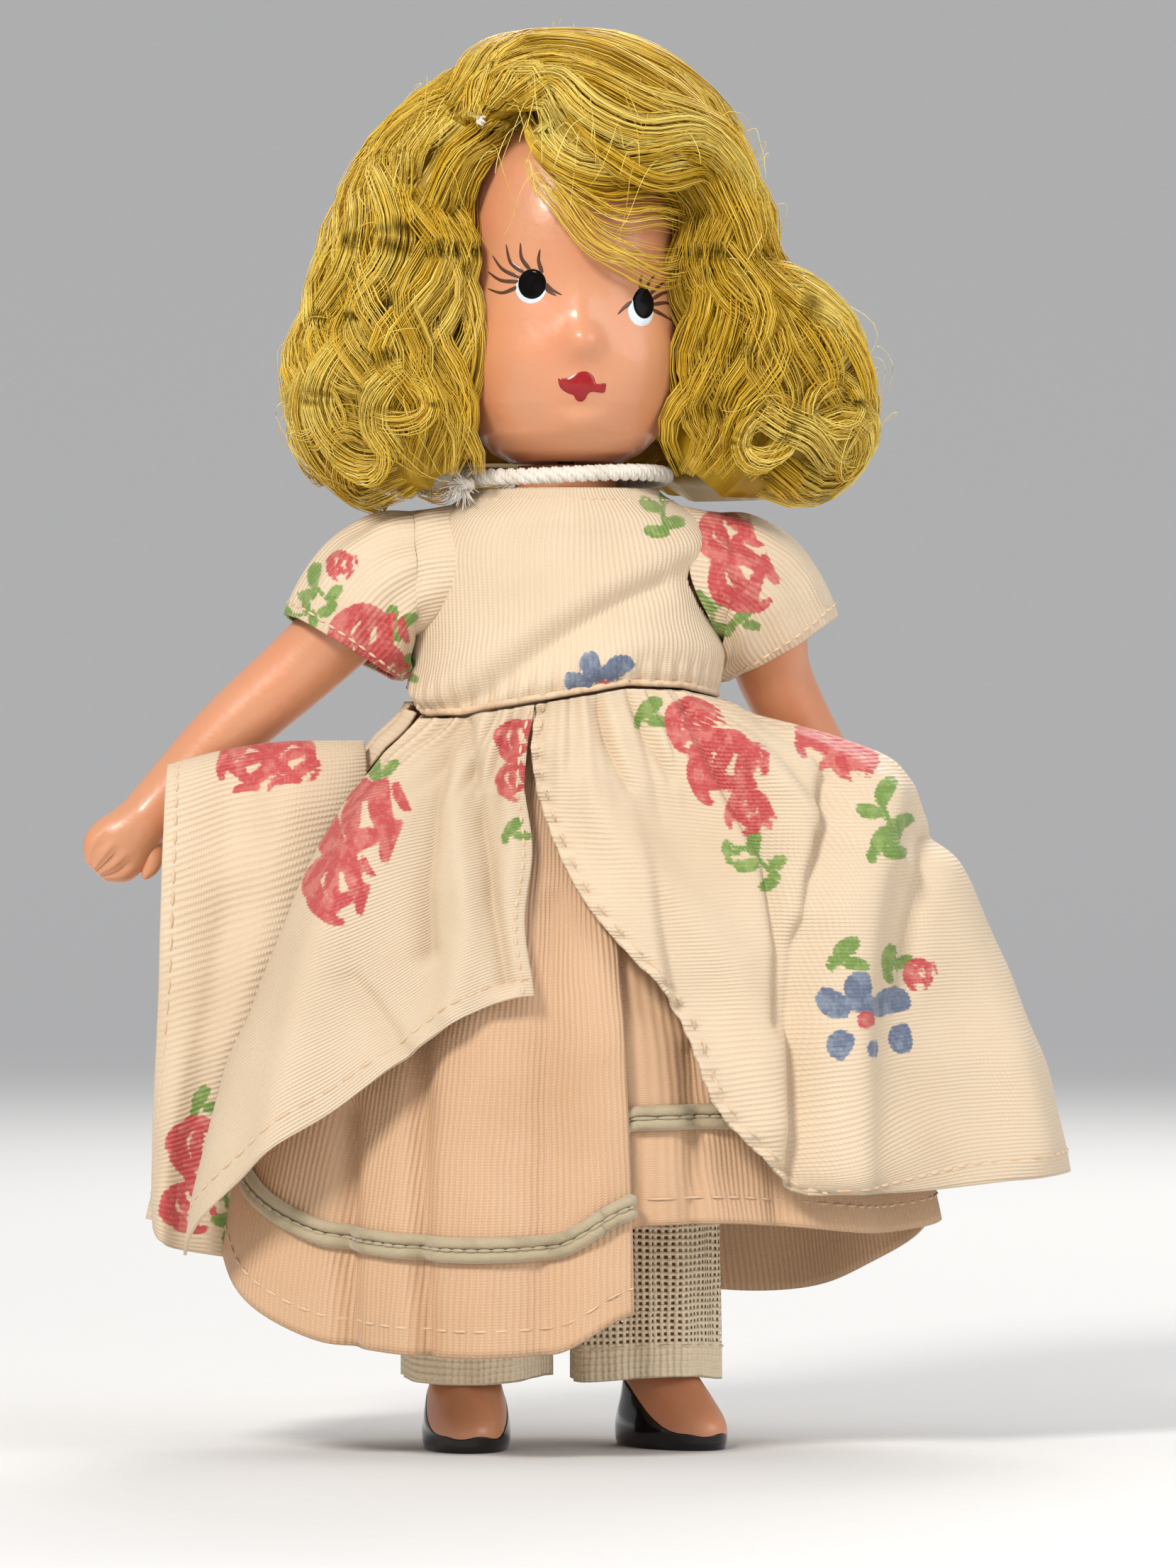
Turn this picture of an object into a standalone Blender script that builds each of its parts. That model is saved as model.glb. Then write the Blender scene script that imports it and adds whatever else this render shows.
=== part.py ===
"""A small dressed doll with moulded limbs, a mohair wig and a gathered skirt.

Sizes are in millimetres and become metres when a mesh is made. +Z is up, the face looks
along -Y, the doll's left is +X, and the origin lies between the soles on the ground.
An angle around the doll is 0 at the front and grows towards the doll's left.
"""

import math

import bpy
from mathutils import Vector

MM = 0.001

# Clearances between neighbours
GAP = 0.3
RUNNING_GAP = 0.4

# Levels above the soles
HIP_Z = 60.0
HIP_TO_WAIST = 15.0
WAIST_TO_SHOULDER = 12.5
SHOULDER_TO_NECK = 10.5
HEAD_HEIGHT = 37.2
WAIST_Z = HIP_Z + HIP_TO_WAIST
SHOULDER_Z = WAIST_Z + WAIST_TO_SHOULDER
NECK_Z = SHOULDER_Z + SHOULDER_TO_NECK
HEAD_TOP_Z = NECK_Z + HEAD_HEIGHT
HAIR_TOP_Z = HEAD_TOP_Z + 5.0

# Body
TORSO_WALL = 1.6
SPIGOT_RADIUS = 3.6
SPIGOT_HEIGHT = 3.0
HIP_RADIUS = 8.0
HIP_IN = 4.6
HIP_OUT = 11.0
SHOULDER_IN = 12.0
SHOULDER_RADIUS = 4.2
ARM_HOLE_RADIUS = 2.2
HEAD_WALL = 2.0
NECK_OPENING = SPIGOT_RADIUS + RUNNING_GAP

# Cloth
BODICE_CLOTH = 0.8
BODICE_HALF_WIDTH = 15.3
BODICE_MIDDLE = BODICE_HALF_WIDTH - BODICE_CLOTH / 2
ARMHOLE_RADIUS = 6.3
SKIRT_CLOTH = 0.7
SLEEVE_CLOTH = 0.7
SLEEVE_START = BODICE_HALF_WIDTH + GAP
PANTALOON_CLOTH = 0.8
PANTALOON_HEM_Z = 6.8
BRAID_WIDTH = 2.3
BRAID_THICKNESS = 0.8
BRAID_ABOVE_HEM = 10.5

# Wig
WIG_CAP_THICKNESS = 0.8
WIG_CAP_GAP = 0.5
HAIR_OFF_HEAD = WIG_CAP_GAP + WIG_CAP_THICKNESS + 0.7
HAIR_SPLIT = 1.2

# Stringing and small parts
ELASTIC_RADIUS = 0.8
HOOK_RADIUS = 0.4
CROSSBAR_RADIUS = 0.5
CROSSBAR_Z = NECK_Z + 4.5
CORD_RADIUS = 0.85
CORD_Z = NECK_Z - 1.0
PIN_RADIUS = 0.35

# Tables run from the top down: height, half-width, half-depth, and the centre's y
TORSO = [
    (NECK_Z, 4.8, 4.8, 0.0),
    (NECK_Z - 3.0, 5.5, 5.0, 0.0),
    (NECK_Z - 4.5, 8.0, 6.0, 0.0),
    (SHOULDER_Z + 2.5, 11.5, 7.0, 0.0),
    (SHOULDER_Z - 3.5, 11.0, 7.5, 0.0),
    (WAIST_Z + 1.0, 10.2, 7.8, 0.0),
    (WAIST_Z - 5.0, 11.0, 8.5, 0.0),
    (HIP_Z + 3.0, 12.0, 9.0, 0.0),
    (HIP_Z - 2.0, 11.0, 8.0, 0.0),
    (HIP_Z - 5.0, 8.0, 6.0, 0.0),
]
HEAD = [
    (HEAD_TOP_Z, 1.5, 1.7, 1.0),
    (NECK_Z + 36.0, 4.8, 5.5, 1.0),
    (NECK_Z + 33.5, 8.0, 9.0, 1.0),
    (NECK_Z + 30.0, 10.2, 11.3, 0.8),
    (NECK_Z + 25.0, 11.6, 12.5, 0.5),
    (NECK_Z + 20.0, 12.0, 12.6, 0.2),
    (NECK_Z + 15.0, 11.9, 12.2, -0.3),
    (NECK_Z + 10.0, 11.5, 11.8, -0.8),
    (NECK_Z + 6.0, 10.7, 10.8, -1.0),
    (NECK_Z + 3.0, 9.2, 9.2, -0.8),
    (NECK_Z + 1.2, 7.4, 7.2, -0.4),
    (NECK_Z + GAP, 5.6, 5.6, 0.0),
]
BODICE = [
    (NECK_Z - 2.4, BODICE_MIDDLE - 5.7, 7.4, 0.0),
    (NECK_Z - 3.5, BODICE_MIDDLE - 4.5, 8.0, 0.0),
    (NECK_Z - 5.5, BODICE_MIDDLE - 1.5, 8.8, 0.0),
    (SHOULDER_Z + 2.5, BODICE_MIDDLE - 0.1, 9.2, 0.0),
    (SHOULDER_Z - 1.5, BODICE_MIDDLE, 10.0, 0.0),
    (WAIST_Z + 6.0, BODICE_MIDDLE, 10.8, 0.0),
    (WAIST_Z + 2.0, BODICE_MIDDLE, 11.2, 0.0),
    (WAIST_Z, BODICE_MIDDLE, 10.9, 0.0),
]
BELL = [
    (76.0, 12.9, 9.2, 0.0),
    (74.0, 13.4, 9.8, 0.0),
    (71.0, 16.4, 11.4, 0.0),
    (66.0, 20.3, 13.4, 0.0),
    (56.0, 25.8, 16.6, 0.0),
    (44.0, 31.2, 19.4, 0.0),
    (32.0, 35.2, 21.4, 0.0),
    (20.0, 38.0, 22.8, 0.0),
    (8.0, 39.6, 23.6, 0.0),
]
SKIN = (0.72, 0.40, 0.26)
HAIR_COLOUR = (0.75, 0.58, 0.12)
FAILLE = (0.80, 0.66, 0.50)
TAFFETA = (0.80, 0.58, 0.42)
GAUZE = (0.78, 0.66, 0.48)
BRAID_COLOUR = (0.58, 0.54, 0.40)
WHITE_THREAD = (0.85, 0.84, 0.80)
BLACK_THREAD = (0.03, 0.03, 0.04)
STEEL = (0.60, 0.60, 0.58)
RUBBER = (0.16, 0.14, 0.12)


def clear_scene():
    for item in list(bpy.data.objects):
        bpy.data.objects.remove(item, do_unlink=True)


def material(name, colour, roughness, metallic=0.0):
    made = bpy.data.materials.get(name)
    if made:
        return made
    made = bpy.data.materials.new(name)
    made.use_nodes = True
    shader = made.node_tree.nodes["Principled BSDF"]
    shader.inputs["Base Color"].default_value = (*colour, 1.0)
    shader.inputs["Roughness"].default_value = roughness
    shader.inputs["Metallic"].default_value = metallic
    return made


def spline(points, share):
    """A point of the smooth curve through the points, at a share of its control points."""
    place = min(max(share, 0.0), 1.0) * (len(points) - 1)
    first = min(int(place), len(points) - 2)
    t = place - first
    a = points[max(first - 1, 0)]
    b = points[first]
    c = points[first + 1]
    d = points[min(first + 2, len(points) - 1)]
    return tuple(
        0.5 * (2 * q + (r - p) * t + (2 * p - 5 * q + 4 * r - s) * t * t + (3 * q - p - 3 * r + s) * t**3)
        for p, q, r, s in zip(a, b, c, d)
    )


def at_height(table, z):
    """Half-width, half-depth and centre y of a table of levels at one height."""
    for index in range(len(table) - 1):
        upper, lower = table[index], table[index + 1]
        if z >= lower[0] or index == len(table) - 2:
            t = (upper[0] - z) / (upper[0] - lower[0])
            return spline(table, (index + min(max(t, 0.0), 1.0)) / (len(table) - 1))[1:]
    return table[-1][1:]


def around(table, angle, z, out=0.0):
    """A point on a table's surface at an angle in degrees, moved outwards by a distance."""
    half_width, half_depth, centre = at_height(table, z)
    turn = math.radians(angle)
    return Vector(
        (
            (half_width + out) * math.sin(turn),
            centre - (half_depth + out) * math.cos(turn),
            z,
        )
    )


def off_head(angle, z, out):
    """A point at a distance from the head's surface, square to it."""
    along = around(HEAD, angle + 2, z) - around(HEAD, angle - 2, z)
    down = around(HEAD, angle, z - 0.3) - around(HEAD, angle, min(z + 0.3, HEAD_TOP_Z))
    return around(HEAD, angle, z) + down.cross(along).normalized() * out


def smooth_step(low, high, value):
    t = min(max((value - low) / (high - low), 0.0), 1.0)
    return t * t * (3 - 2 * t)


def bump(value, centre, reach):
    """1 at the centre, falling smoothly to 0 at the reach."""
    return smooth_step(reach, 0.0, abs(value - centre))


def make(name, points, faces, colour, roughness=0.6, metallic=0.0, pivot=None):
    """A mesh object from points in millimetres, with its origin on its pivot."""
    origin = Vector(pivot or (0.0, 0.0, 0.0))
    mesh = bpy.data.meshes.new(name)
    mesh.from_pydata([tuple((Vector(p) - origin) * MM) for p in points], [], faces)
    mesh.validate()
    mesh.materials.append(material(name + "_finish", colour, roughness, metallic))
    mesh.shade_smooth()
    made = bpy.data.objects.new(name, mesh)
    made.location = origin * MM
    bpy.context.scene.collection.objects.link(made)
    return made


def outwards(points, faces):
    """The faces, turned round if they enclose a negative volume."""
    volume = 0.0
    for face in faces:
        first = Vector(points[face[0]])
        for second, third in zip(face[1:], face[2:]):
            volume += first.dot(Vector(points[second]).cross(Vector(points[third])))
    return faces if volume > 0 else [tuple(reversed(face)) for face in faces]


def loft(name, rings, colour, **options):
    """A closed solid through rings of equally many points."""
    count = len(rings[0])
    points = [p for ring in rings for p in ring]
    faces = [tuple(range(count)), tuple(reversed(range(len(points) - count, len(points))))]
    for row in range(len(rings) - 1):
        for column in range(count):
            start, after = row * count + column, row * count + (column + 1) % count
            faces.append((start, start + count, after + count, after))
    return make(name, points, outwards(points, faces), colour, **options)


def thick(name, inner, outer, columns, rows, wrap, colour, **options):
    """A closed wall between two surfaces given as functions of (across, down), each 0 to 1."""
    across = columns if wrap else columns + 1
    grid = [(i / columns, j / rows) for j in range(rows + 1) for i in range(across)]
    points = [inner(u, v) for u, v in grid] + [outer(u, v) for u, v in grid]
    second = len(grid)
    faces = []
    for j in range(rows):
        for i in range(columns):
            after = (i + 1) % across
            a, b = j * across + i, j * across + after
            c, d = b + across, a + across
            faces.append((a, d, c, b))
            faces.append((a + second, b + second, c + second, d + second))
    for i in range(columns):
        after = (i + 1) % across
        last = rows * across
        faces.append((i, after, after + second, i + second))
        faces.append((last + after, last + i, last + i + second, last + after + second))
    if not wrap:
        for j in range(rows):
            a, b = j * across, (j + 1) * across
            faces.append((b, a, a + second, b + second))
            a, b = a + columns, b + columns
            faces.append((a, b, b + second, a + second))
    return make(name, points, outwards(points, faces), colour, **options)


def cloth(name, middle, thickness, columns, rows, wrap, colour, **options):
    """A sheet of cloth round a middle surface given as a function of (across, down)."""
    step = 0.004

    def side(u, v, distance):
        low_u, high_u = (u - step, u + step) if wrap else (max(u - step, 0), min(u + step, 1))
        low_v, high_v = max(v - step, 0), min(v + step, 1)
        along = middle(high_u, v) - middle(low_u, v)
        down = middle(u, high_v) - middle(u, low_v)
        return middle(u, v) + down.cross(along).normalized() * distance

    half = thickness / 2
    return thick(
        name,
        lambda u, v: side(u, v, -half),
        lambda u, v: side(u, v, half),
        columns,
        rows,
        wrap,
        colour,
        **options,
    )


def ellipse(centre, first, second, count):
    """A ring of points round a centre, from two half-axis vectors."""
    return [
        centre + first * math.cos(2 * math.pi * i / count) + second * math.sin(2 * math.pi * i / count)
        for i in range(count)
    ]


def level_ring(x, y, z, half_width, half_depth, count):
    return ellipse(Vector((x, y, z)), Vector((half_width, 0, 0)), Vector((0, half_depth, 0)), count)


def tube(name, points, radius, colour, cyclic=False, steps=2, **finish):
    """A round cord, wire or elastic along points in millimetres, with closed ends."""
    curve = bpy.data.curves.new(name, "CURVE")
    curve.dimensions = "3D"
    curve.bevel_depth = radius * MM
    curve.bevel_resolution = steps
    curve.use_fill_caps = not cyclic
    line = curve.splines.new("POLY")
    line.points.add(len(points) - 1)
    for knot, place in zip(line.points, points):
        knot.co = (*(Vector(place) * MM), 1.0)
    line.use_cyclic_u = cyclic
    curve.materials.append(material(name + "_finish", colour, **finish))
    made = bpy.data.objects.new(name, curve)
    bpy.context.scene.collection.objects.link(made)
    return made


def cut(target, cutter):
    """Takes a cutter's shape out of a target."""
    cutter.hide_render = True
    cutter.display_type = "WIRE"
    hole = target.modifiers.new("cut_" + cutter.name, "BOOLEAN")
    hole.object = cutter
    hole.operation = "DIFFERENCE"
    hole.solver = "EXACT"


def rod_cutter(name, start, end, radius, z, sides=32):
    """A cutter along X between two x values, at a height."""
    rings = [
        ellipse(Vector((x, 0, z)), Vector((0, radius, 0)), Vector((0, 0, radius)), sides)
        for x in (start, end)
    ]
    return loft(name, rings, STEEL)


def side_name(side):
    return "left" if side > 0 else "right"


# Torso


def torso():
    """The hollow body: a wall that is open at the neck, cut for the arms and the hips."""
    bottom = TORSO[-1][0]
    spigot_top = NECK_Z + SPIGOT_HEIGHT
    sides = 24

    def wall(inset):
        rings = []
        for z in [row[0] for row in TORSO]:
            half_width, half_depth, centre = at_height(TORSO, z)
            level = z + inset if z == bottom else z
            rings.append(level_ring(0, centre, level, half_width - inset, half_depth - inset, sides))
        return rings

    bore = SPIGOT_RADIUS - TORSO_WALL
    outer = [level_ring(0, 0, spigot_top, SPIGOT_RADIUS, SPIGOT_RADIUS, sides)]
    outer.append(level_ring(0, 0, NECK_Z, SPIGOT_RADIUS, SPIGOT_RADIUS, sides))
    inner = [level_ring(0, 0, spigot_top, bore, bore, sides)]
    inner.append(level_ring(0, 0, NECK_Z - 1.0, bore, bore, sides))
    rings = list(reversed(inner + wall(TORSO_WALL)[1:])) + outer + wall(0.0)
    body = loft("torso", rings, SKIN, roughness=0.35)
    arm_hole = rod_cutter("arm_hole_cutter", -20.0, 20.0, ARM_HOLE_RADIUS, SHOULDER_Z)
    cut(body, arm_hole)
    for side in (-1, 1):
        near, far = sorted((side * (HIP_IN - RUNNING_GAP), side * 20.0))
        hip = rod_cutter(
            "hip_cutter_" + side_name(side), near, far, HIP_RADIUS + RUNNING_GAP, HIP_Z
        )
        cut(body, hip)


# Head and wig


def head():
    """The hollow head, open at the neck, with a small nose."""
    nose = Vector((0.8, -12.6, NECK_Z + 12.4))

    def outer(u, v):
        z = HEAD_TOP_Z + (NECK_Z + GAP - HEAD_TOP_Z) * v
        point = around(HEAD, 360 * u, z)
        return point + Vector((0, -1.3, 0)) * bump((point - nose).length, 0, 3.4)

    def inner(u, v):
        z = HEAD_TOP_Z - HEAD_WALL + (NECK_Z + GAP - HEAD_TOP_Z + HEAD_WALL) * v
        half_width, half_depth, centre = at_height(HEAD, min(z + HEAD_WALL * 0.4, HEAD_TOP_Z))
        width = max(half_width - HEAD_WALL, 0.6)
        depth = max(half_depth - HEAD_WALL, 0.6)
        close = smooth_step(NECK_Z + 4.0, NECK_Z + 2.2, z)
        width += (NECK_OPENING - width) * close
        depth += (NECK_OPENING - depth) * close
        turn = 2 * math.pi * u
        return Vector((width * math.sin(turn), centre * (1 - close) - depth * math.cos(turn), z))

    columns, rows = 26, 14
    rings = [[inner(i / columns, j / rows) for i in range(columns)] for j in range(rows + 1)]
    outside = [[outer(i / columns, j / rows) for i in range(columns)] for j in range(rows + 1)]
    loft("head", rings + outside[::-1], SKIN, roughness=0.3, pivot=(0, 0, NECK_Z))
    reach = 6.0
    tube(
        "head_crossbar",
        [(-reach + 2 * reach * i / 4, 0, CROSSBAR_Z) for i in range(5)],
        CROSSBAR_RADIUS,
        STEEL,
        roughness=0.4,
        metallic=1.0,
    )


def cap_edge(angle):
    """Height of the wig cap's edge: high at the forehead, low at the nape."""
    return NECK_Z + 8.0 + 23.0 * smooth_step(85, 40, abs((angle + 180) % 360 - 180))


def wig_cap():
    def layer(out):
        def point(u, v):
            angle = 360 * u
            z = HEAD_TOP_Z - 0.4 + (cap_edge(angle) - HEAD_TOP_Z + 0.4) * v
            return off_head(angle, z, out)

        return point

    thick(
        "wig_cap",
        layer(WIG_CAP_GAP),
        layer(WIG_CAP_GAP + WIG_CAP_THICKNESS),
        26,
        9,
        True,
        HAIR_COLOUR,
        roughness=0.8,
        pivot=(0, 0, NECK_Z),
    )


# Height, reach to the doll's right, reach to its left, reach forwards, reach backwards
HAIR = [
    (HAIR_TOP_Z, 1.5, 1.5, 1.5, 1.5),
    (NECK_Z + 40.6, 9.5, 8.5, 9.0, 9.0),
    (NECK_Z + 37.0, 14.5, 14.0, 13.0, 13.5),
    (NECK_Z + 32.0, 19.0, 17.8, 15.5, 16.5),
    (NECK_Z + 26.0, 22.6, 20.0, 16.5, 18.0),
    (NECK_Z + 19.5, 24.6, 21.5, 16.0, 18.5),
    (NECK_Z + 13.5, 26.6, 29.6, 15.0, 18.5),
    (NECK_Z + 8.5, 27.6, 30.8, 14.0, 18.0),
    (NECK_Z + 3.0, 26.8, 30.6, 13.0, 17.0),
    (NECK_Z - 1.0, 24.0, 27.6, 12.0, 15.0),
    (NECK_Z - 3.4, 18.4, 22.0, 11.0, 13.0),
]


def hair_reach(angle, z):
    """How far the wig reaches from the neck's axis at an angle and a height."""
    right, left, forwards, backwards = at_height(HAIR, z)
    turn = math.radians(angle)
    across = math.sin(turn) / (left if math.sin(turn) > 0 else right)
    along = math.cos(turn) / (forwards if math.cos(turn) > 0 else backwards)
    waves = 0.5 * math.sin(math.radians(9 * angle) + z * 0.5)
    return 1 / math.hypot(across, along) + waves


def hair_floor(radius):
    """The lowest the wig may hang at a distance from the neck, clear of the cord and the shoulders."""
    return NECK_Z - 3.6 + 4.2 * smooth_step(17.5, 12.5, radius)


def hair_outside(angle, z):
    reach = hair_reach(angle, z)
    turn = math.radians(angle)
    return Vector((reach * math.sin(turn), -reach * math.cos(turn), max(z, hair_floor(reach))))


def hair_inside(angle, z):
    """The wig's inner side, clear of the cap and of the neck below it."""
    point = around(HEAD, angle, max(z, NECK_Z + 6.0), HAIR_OFF_HEAD)
    radius = math.hypot(point.x, point.y)
    return Vector((point.x, point.y, max(z, hair_floor(radius))))


def crown_edge(angle):
    """Height of the crown's lower edge: the hairline in front, and over the curls elsewhere."""
    turn = (angle + 180) % 360 - 180
    hairline = NECK_Z + 34.0 - 9.0 * smooth_step(-8, 34, turn)
    return hairline + (NECK_Z + 24.0 - hairline) * smooth_step(42, 70, abs(turn))


def hair_crown():
    def layer(surface, top):
        def point(u, v):
            angle = 360 * u
            return surface(angle, top + (crown_edge(angle) - top) * v)

        return point

    def inside(angle, z):
        return off_head(angle, z, HAIR_OFF_HEAD)

    thick(
        "hair_crown",
        layer(inside, HEAD_TOP_Z),
        layer(hair_outside, HAIR_TOP_Z),
        30,
        7,
        True,
        HAIR_COLOUR,
        pivot=(0, 0, NECK_Z),
    )


def hair_side(name, first, last):
    """A mass of curls between two angles, under the crown."""
    low = NECK_Z - 3.5

    def layer(surface):
        def point(u, v):
            angle = first + (last - first) * u
            top = crown_edge(angle) - HAIR_SPLIT
            return surface(angle, top + (low - top) * v)

        return point

    thick(
        name, layer(hair_inside), layer(hair_outside), 10, 8, False, HAIR_COLOUR, pivot=(0, 0, NECK_Z)
    )


def wig():
    wig_cap()
    hair_crown()
    hair_side("hair_curl_left", 51.0, 126.0)
    hair_side("hair_curl_right", -126.0, -51.0)
    hair_side("hair_back", 129.0, 231.0)
    start, end = Vector((-9.6, -12.4, NECK_Z + 30.6)), Vector((-3.4, -6.0, NECK_Z + 40.9))
    middle = (start + end) / 2 + Vector((-2.4, -6.4, 3.0))
    line = [tuple(spline([start, middle, end], i / 12)) for i in range(13)]
    tube("parting_thread", lifted(line), 0.35, WHITE_THREAD, roughness=0.8)


def lifted(line):
    """The parting's points, moved out until they lie on the wig."""
    placed = []
    for x, y, z in line:
        angle = math.degrees(math.atan2(x, -y))
        reach = hair_reach(angle, z) + 0.8
        turn = math.radians(angle)
        placed.append((reach * math.sin(turn), -reach * math.cos(turn), z + 0.3))
    return placed


# Limbs

ARM_RADII = [SHOULDER_RADIUS, 4.3, 4.3, 4.1, 3.8, 3.5, 3.1, 2.8]
RIGHT_ARM = [
    (SHOULDER_IN, 0.0, SHOULDER_Z),
    (SLEEVE_START - 0.6, 0.0, SHOULDER_Z - 0.2),
    (SLEEVE_START + 2.8, 0.7, SHOULDER_Z - 1.9),
    (SLEEVE_START + 6.0, 1.8, SHOULDER_Z - 5.1),
    (SLEEVE_START + 10.8, 3.0, SHOULDER_Z - 9.7),
    (SLEEVE_START + 17.5, 3.9, SHOULDER_Z - 15.7),
    (SLEEVE_START + 23.3, 4.4, SHOULDER_Z - 21.8),
    (SLEEVE_START + 26.4, 4.2, SHOULDER_Z - 25.0),
]
LEFT_ARM = [
    (SHOULDER_IN, 0.0, SHOULDER_Z),
    (SLEEVE_START + 0.2, 0.0, SHOULDER_Z - 0.2),
    (SLEEVE_START + 3.4, 0.8, SHOULDER_Z - 2.1),
    (SLEEVE_START + 5.0, 2.4, SHOULDER_Z - 5.9),
    (SLEEVE_START + 6.2, 4.4, SHOULDER_Z - 10.1),
    (SLEEVE_START + 9.0, 6.8, SHOULDER_Z - 15.1),
    (SLEEVE_START + 12.8, 9.2, SHOULDER_Z - 20.5),
    (SLEEVE_START + 14.8, 10.4, SHOULDER_Z - 23.3),
]
HAND = [(0.0, 2.8, 2.8), (1.6, 3.0, 2.5), (3.6, 3.4, 2.2), (5.6, 3.0, 1.9), (7.0, 1.6, 1.2)]


def arm_rings(path, side):
    """Rings across an arm's path, then over its mitten hand."""
    points = [Vector((side * x, y, z)) for x, y, z in path]
    rings = []
    steps = 14
    for step in range(steps + 1):
        share = step / steps
        centre = Vector(spline(points, share))
        ahead = Vector(spline(points, min(share + 0.01, 1.0))) - Vector(spline(points, max(share - 0.01, 0.0)))
        if step == 0:
            ahead = Vector((side, 0, 0))
        radius = spline([(r,) for r in ARM_RADII], share)[0]
        first = ahead.cross(Vector((0, 1, 0))).normalized()
        second = ahead.cross(first).normalized()
        rings.append(ellipse(centre, first * radius, second * radius, 16))
    wrist = points[-1]
    along = (points[-1] - points[-2]).normalized()
    first = along.cross(Vector((0, 1, 0))).normalized()
    second = along.cross(first).normalized()
    for distance, width, depth in HAND[1:]:
        rings.append(ellipse(wrist + along * distance, first * width, second * depth, 16))
    return rings


def arm(side, path):
    name = side_name(side)
    pivot = (side * SHOULDER_IN, 0, SHOULDER_Z)
    loft("arm_" + name, arm_rings(path, side), SKIN, roughness=0.35, pivot=pivot)
    start = SHOULDER_IN - GAP
    shank = [(side * (start - 3.2 * i / 4), 0, SHOULDER_Z) for i in range(5)]
    eye = [(side * (start - 3.2 - 0.4 * i), 0.5 * i, SHOULDER_Z) for i in range(1, 3)]
    tube("arm_hook_" + name, shank + eye, HOOK_RADIUS, STEEL, roughness=0.4, metallic=1.0)


FOOT = [
    (10.0, 0.0, 3.2, 3.4),
    (7.4, -0.6, 3.4, 4.0),
    (5.0, -1.7, 3.9, 5.7),
    (2.6, -2.5, 4.3, 7.4),
    (0.8, -2.5, 4.3, 7.5),
    (0.0, -2.5, 4.1, 7.3),
]
FOOT_OUT_LEFT = 9.2
FOOT_OUT_RIGHT = 10.2
FOOT_TURN_LEFT = 26.0
FOOT_TURN_RIGHT = 4.0
LEG = [(50.0, 5.0), (42.0, 4.5), (35.0, 4.0), (27.0, 4.3), (20.0, 3.9), (14.0, 3.3)]


def leg_centre(side, z):
    """x of a leg's middle at a height: from the hip to a foot set a little outwards."""
    hip = (HIP_IN + HIP_OUT) / 2
    foot = FOOT_OUT_LEFT if side > 0 else FOOT_OUT_RIGHT
    return side * (hip + (foot - hip) * smooth_step(HIP_Z, 8.0, z))


def foot_ring(side, z, y, width, depth):
    """A ring of a foot, turned outwards about the middle of its leg."""
    turn = math.radians(side * (FOOT_TURN_LEFT if side > 0 else FOOT_TURN_RIGHT))
    ahead = Vector((math.sin(turn), -math.cos(turn), 0))
    across = Vector((math.cos(turn), math.sin(turn), 0))
    centre = Vector((leg_centre(side, z), 0, z)) - ahead * y
    return ellipse(centre, across * width, ahead * -depth, 20)


def leg(side):
    """A leg with its flat hip and its moulded slipper, in one piece."""
    name = side_name(side)
    half = (HIP_OUT - HIP_IN) / 2
    rings = []
    for share in (0.96, 0.83, 0.63, 0.33, 0.0, -0.33, -0.63):
        depth = HIP_RADIUS * math.sqrt(1 - share**2)
        width = half if share < 0.9 else half * 0.8
        z = HIP_Z + share * HIP_RADIUS
        rings.append(level_ring(side * (HIP_IN + half), 0, z, width, depth, 20))
    for z, radius in LEG:
        rings.append(level_ring(leg_centre(side, z), 0, z, radius * 0.94, radius, 20))
    for z, y, width, depth in FOOT:
        rings.append(foot_ring(side, z, y, width, depth))
    loft("leg_" + name, rings, SKIN, roughness=0.35, pivot=(0, 0, HIP_Z))
    start = HIP_IN - GAP
    shank = [(side * (start - 0.4 * i), 0, HIP_Z) for i in range(4)]
    tube("leg_hook_" + name, shank, HOOK_RADIUS, STEEL, roughness=0.4, metallic=1.0)


def stringing():
    """The elastics that hold the arms, the legs and the head to the torso."""
    reach = SHOULDER_IN - GAP - 3.2 - 0.8 - GAP - HOOK_RADIUS
    line = [(-reach + 2 * reach * i / 8, 0, SHOULDER_Z) for i in range(9)]
    tube("arm_elastic", line, ELASTIC_RADIUS, RUBBER, roughness=0.7)
    reach = HIP_IN - GAP - 1.2 - GAP - HOOK_RADIUS
    line = [(-reach + 2 * reach * i / 4, 0, HIP_Z) for i in range(5)]
    tube("leg_elastic", line, ELASTIC_RADIUS, RUBBER, roughness=0.7)
    top = CROSSBAR_Z - CROSSBAR_RADIUS - GAP
    bottom = HIP_Z + ELASTIC_RADIUS + GAP
    side_step = 2 * ELASTIC_RADIUS + GAP
    route = [(0, 0, top), (0, 0.2, CORD_Z), (0, side_step, SHOULDER_Z), (0, 0.8, WAIST_Z + 1.0), (0, 0, bottom)]
    line = [spline(route, i / 20) for i in range(21)]
    tube("head_elastic", line, ELASTIC_RADIUS, RUBBER, roughness=0.7)


# Clothes


def bodice_panel(name, first, last):
    top, bottom = BODICE[0][0], BODICE[-1][0]

    def middle(u, v):
        return around(BODICE, first + (last - first) * u, top + (bottom - top) * v)

    columns = max(7, round((last - first) / 12))
    panel = cloth(name, middle, BODICE_CLOTH, columns, 8, False, FAILLE)
    for side in (-1, 1):
        cut(panel, bpy.data.objects["armhole_cutter_" + side_name(side)])


def bodice():
    for side in (-1, 1):
        near, far = sorted((side * 11.4, side * 20.0))
        hole = rod_cutter("armhole_cutter_" + side_name(side), near, far, ARMHOLE_RADIUS, SHOULDER_Z)
        hole.hide_render = True
    bodice_panel("bodice_front", -88.5, 88.5)
    bodice_panel("bodice_back_left", 91.0, 178.5)
    bodice_panel("bodice_back_right", 181.5, 269.0)


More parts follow.
